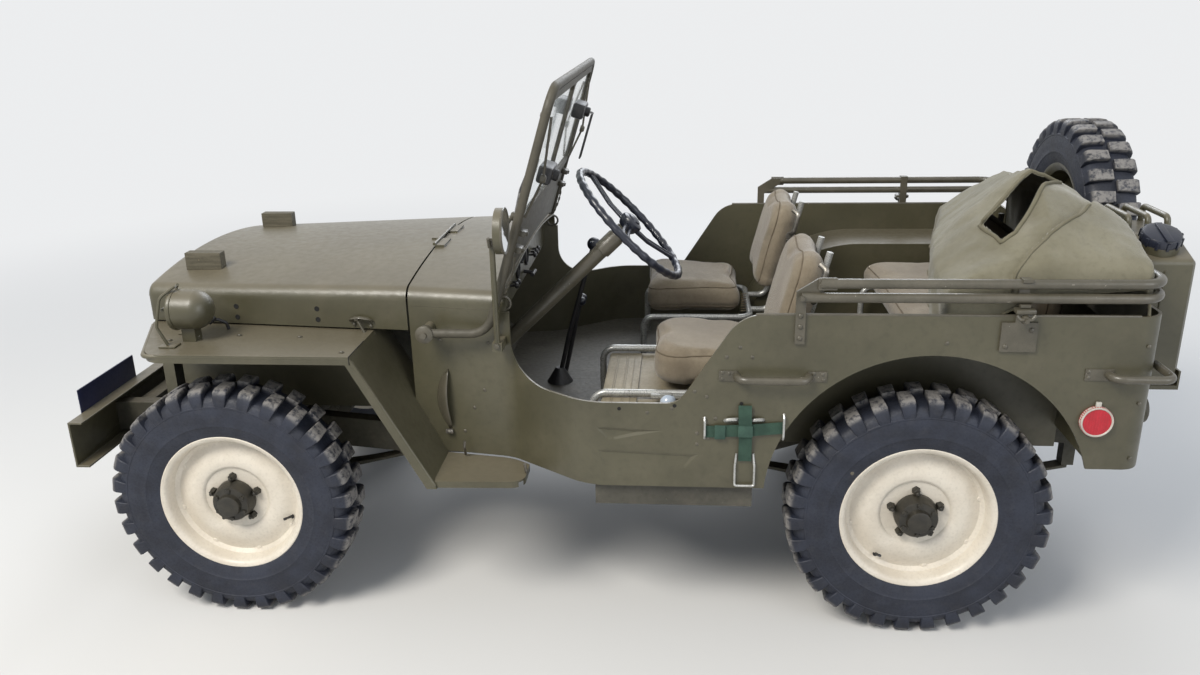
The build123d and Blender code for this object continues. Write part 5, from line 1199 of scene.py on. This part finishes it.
column = Shape().lathe([(20.2, -840), (22.5, -840), (22.5, -120), (27, -118), (27, -60), (24, -56), (24, -26),
    (20.2, -24)], turn_axis, 32)
column.piece("column_jacket")

# Dash: round dials, a switch row and the hand brake's handle
dash = Shape()
DASH_FACE = 805.4
DIALS = [(0, 992, 42), (-92, 1004, 27), (-92, 946, 27), (92, 1004, 27), (92, 946, 27)]
faces, needles = Shape(), Shape()
for n, (y, z, radius) in enumerate(DIALS):
    place = aim((DASH_FACE, y, z), (1, 0, 0))
    dash.lathe([(radius, 0), (radius + 5, 1), (radius + 5, 5), (radius, 7), (radius - 1, 4)], place, 36)
    faces.lathe([(radius, 3), (0, 3)], place, 36)
    needles.box((-1.0, -6, 3.4), (1.0, radius * 0.8, 4.2), 0, place=place @ Matrix.Rotation(0.9 + 1.3 * n, 4,
        "Z"))
    for k in range(9 if n == 0 else 0):
        mark = place @ Matrix.Rotation(2 * pi * (k - 4) / 12, 4, "Z")
        needles.box((-0.8, radius * 0.82, 3.4), (0.8, radius * 0.94, 4.0), 0, place=mark)
dash.piece("dial_rims", black_paint)
faces.piece("dial_faces", hole_dark, slot="black_enamel")
needles.piece("dial_marks", steel)
knobs = Shape()
for y in (-230, -190, 170, 215, 260):
    knobs.lathe([(4, 0), (4, 14), (10, 16), (11, 22), (7, 27), (0, 28)], aim((DASH_FACE, y, 930),
        (1, 0, 0.1)), 18)
knobs.tube([(DASH_FACE, 40, 905), (DASH_FACE + 34, 40, 900)], 6, sides=10)
knobs.tube([(DASH_FACE + 34, 5, 902), (DASH_FACE + 34, 75, 898)], 7, sides=10)
knobs.piece("dash_knobs", black_paint)

# Levers: ball knobs on the tall lever, the short ones and the seat's catch
balls = Shape()
for x, y, z, radius in ((1056, 0, 1012, 23), (1001, 70, 788, 16), (1001, 110, 788, 16)):
    balls.lathe(ball(radius, 14), aim((x, y, z), (0.2, 0, 1)), 28)
balls.piece("lever_balls", black_gloss)
catch = Shape()
catch.box((1268, -602, 700), (1400, -586, 712), 2).box((1296, -606, 696), (1330, -590, 716), 3)
catch.piece("seat_catch", bright_tube)
seat_ball = Shape().lathe(ball(24, 16), aim((1318, -600, 690), (0, 0, 1)), 32)
seat_ball.piece("seat_ball", pale_blue)

# Tank top: a lid with pressed lines, and the filler's cap
tank = Shape()
tank.box((1124, -700, 680), (1226, -180, 686), 3)
for x in (1146, 1152, 1178, 1184, 1204):
    tank.box((x - 1.6, -696, 686), (x + 1.6, -184, 688.2), 1)
tank.piece("tank_lid", tan_paint)
fuel_cap = Shape().lathe([(0, 0), (46, 0), (48, 4), (48, 16), (44, 20), (30, 21), (28, 24), (0, 25)],
    aim((1400, -300, 680), (0, 0, 1)), 36)
fuel_cap.piece("tank_cap")

# Grips and studs on the front backs, and laces on the front cushions
for name, side in SEATS:
    y = side * SEAT_Y - PAD_WIDE / 2
    grips = Shape().tube([(1736, y + 4, 1092), (1752, y - 16, 1080), (1738, y - 16, 1016),
        (1724, y + 4, 1006)], 8.5, 14, sides=12, flat=0.6)
    grips.lathe([(11, 0), (11, 2), (0, 3)], aim((1724, y - 2, 1002), (0, -1, 0)), 18)
    grips.piece(f"{name}_grip", steel)
    studs = Shape()
    for x, z in ((1676, 806), (1700, 896), (1722, 984)):
        studs.lathe([(8, -4), (8, 1), (5, 4), (0, 4.5)], aim((x, y - 2, z), (0, -1, 0)), 14)
    studs.piece(f"{name}_studs", hub_black)
laces = Shape()
for _, side in SEATS:
    y = side * SEAT_Y - PAD_WIDE / 2 - 1
    for k in range(8):
        z = 726 + k * 9
        laces.tube([(1566, y + 2, z), (1574, y - 3, z + 2), (1583, y + 3, z + 1)], 1.8, sides=6)
laces.piece("cushion_laces", welt_cloth)

# Can: crossed ribs on its faces, weld seams, and the cap with its lever
CAN_MID = -300.0
can = Shape()
for x in (2618, 2777):
    face = -1 if x < 2700 else 1
    for turn in (-1, 1):
        can.tube([(x + face * 1.5, CAN_MID - turn * 115, 780), (x + face * 1.5, CAN_MID + turn * 115, 1050)],
            6, flat=0.5, up=(0, 1, 0))
can.tube([(2694, -474, 742), (2694, -474, 1050)], 3, sides=6)
can.tube([(2694, -126, 742), (2694, -126, 1080)], 3, sides=6)
can.piece("can_seams", paint)
cap = Shape()
cap_place = aim((2694, -412, 1120), (0, -0.34, 0.94))
cap.lathe([(0, -6), (46, -6), (52, -2), (54, 6), (54, 24), (50, 30), (40, 33), (0, 34)], cap_place, 44)
for k in range(12):
    ridge = cap_place @ Matrix.Rotation(2 * pi * k / 12, 4, "Z")
    cap.box((50, -4, 2), (57, 4, 27), 1.5, place=ridge)
cap.box((-10, -58, 33), (10, 40, 39), 2, place=cap_place)
cap.tube([(2694, -372, 1120), (2694, -350, 1148), (2694, -330, 1140)], 5, 8)
cap.piece("can_cap", black_gloss, slot="black_enamel")


# Engine: head with its nuts, plugs and leads, hose, air cleaner and oil filter
ENGINE_TOP = 860.0
head = Shape().box((-96, -104, ENGINE_TOP), (440, 104, ENGINE_TOP + 24), 5)
for x in range(-76, 430, 62):
    for y in (-86, 0, 86):
        head.bolt((x, y, ENGINE_TOP + 24), (0, 0, 1), 9, 10)
head.tube([(-96, 0, ENGINE_TOP + 10), (-150, 0, ENGINE_TOP + 22), (-186, 0, ENGINE_TOP + 14)], 24, 30,
    sides=20)
head.piece("engine_head", iron)
leads = Shape()
for k in range(4):
    x = -30 + 125 * k
    leads.lathe([(9, 0), (9, 12), (6, 14), (6, 26), (0, 27)], aim((x, 48, ENGINE_TOP + 24), (0, 0, 1)), 14)
    leads.tube([(x, 48, ENGINE_TOP + 46), (x + 10, 90, ENGINE_TOP + 50), (200, 158, ENGINE_TOP + 4 - k),
        (200, 166, 806)], 4, 20)
leads.lathe([(0, 0), (30, 0), (34, 6), (34, 50), (26, 62), (0, 66)], aim((200, 178, 750), (0, 0, 1)), 28)
leads.piece("engine_leads", black_paint)
cleaner = Shape().lathe([(0, 0), (70, 0), (74, 4), (74, 120), (78, 124), (78, 140), (70, 152), (0, 156)],
    aim((350, 238, 690), (0, 0, 1)), 40)
cleaner.lathe([(0, 0), (48, 0), (52, 5), (52, 150), (44, 164), (0, 168)], aim((60, -205, 680), (0, 0, 1)), 36)
cleaner.tube([(350, 238, 840), (350, 238, 872), (330, 150, 872), (326, 100, 872)], 17, 24, sides=16)
for x in (40, 80):
    cleaner.tube([(x, -136, 760), (x, -170, 760)], 5)
cleaner.piece("engine_canisters", paint)


# Floor, light and world
def light(name, place, target, size, energy, colour):
    """An area light at a place in metres, turned toward its target."""
    data = bpy.data.lights.new(name, "AREA")
    data.size = size
    data.energy = energy
    data.color = colour
    obj = new_object(name, data)
    obj.location = place
    obj.rotation_euler = (Vector(target) - Vector(place)).to_track_quat("-Z", "Y").to_euler()


light("key", (-3.2, -4.6, 6.2), (0.2, 0, 0.5), 3.0, 620, (1.0, 0.965, 0.90))
light("fill", (5.5, -5.0, 3.2), (0.3, 0, 0.6), 4.0, 150, (0.92, 0.95, 1.0))
light("back", (1.0, 6.0, 5.0), (0, 0, 0.8), 4.0, 260, (0.90, 0.94, 1.0))


def seen_direct(tree):
    """1 on rays of the camera, of a reflection or through glass."""
    path = add_node(tree, "ShaderNodeLightPath").outputs
    seen = math_node(tree, "MAXIMUM", path["Is Camera Ray"], path["Is Glossy Ray"])
    return math_node(tree, "MAXIMUM", seen, path["Is Transmission Ray"])


BACKDROP = (0.84, 0.85, 0.86, 1)


def floor():
    """A wide pale floor that fades into the backdrop far from the car."""
    mat = bpy.data.materials.new("floor_plain")
    mat.use_nodes = True
    tree = mat.node_tree
    tree.nodes["Principled BSDF"].inputs["Base Color"].default_value = (0.63, 0.62, 0.60, 1)
    tree.nodes["Principled BSDF"].inputs["Roughness"].default_value = 0.9
    coords = add_node(tree, "ShaderNodeTexCoord").outputs["Object"]
    reach = add_node(tree, "ShaderNodeVectorMath", {0: coords}, operation="LENGTH").outputs["Value"]
    far = math_node(tree, "MULTIPLY", ramp(tree, reach, 2.6, 7.0), seen_direct(tree))
    glow = add_node(tree, "ShaderNodeEmission", {"Color": BACKDROP, "Strength": 1.0}).outputs[0]
    near = tree.nodes["Principled BSDF"].outputs[0]
    mixed = add_node(tree, "ShaderNodeMixShader", {0: far, 1: near, 2: glow}).outputs[0]
    tree.links.new(mixed, tree.nodes["Material Output"].inputs["Surface"])
    data = bpy.data.meshes.new("floor_sheet")
    data.from_pydata([(-40, -40, 0), (40, -40, 0), (40, 40, 0), (-40, 40, 0)], [], [(0, 1, 2, 3)])
    data.materials.append(mat)
    new_object("floor_sheet", data)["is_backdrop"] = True


floor()


def surroundings():
    """Soft sky light, with the pale backdrop where it is seen."""
    world = bpy.data.worlds.new("world")
    bpy.context.scene.world = world
    world.use_nodes = True
    tree = world.node_tree
    sky = tree.nodes["Background"]
    sky.inputs[0].default_value = (0.80, 0.88, 1.0, 1)
    sky.inputs[1].default_value = 0.55
    pale = add_node(tree, "ShaderNodeBackground", {"Color": BACKDROP, "Strength": 1.0}).outputs[0]
    mixed = add_node(tree, "ShaderNodeMixShader", {0: seen_direct(tree), 1: sky.outputs[0],
        2: pale}).outputs[0]
    tree.links.new(mixed, tree.nodes["World Output"].inputs["Surface"])


surroundings()
bpy.context.scene.view_settings.view_transform = "Standard"

low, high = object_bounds()
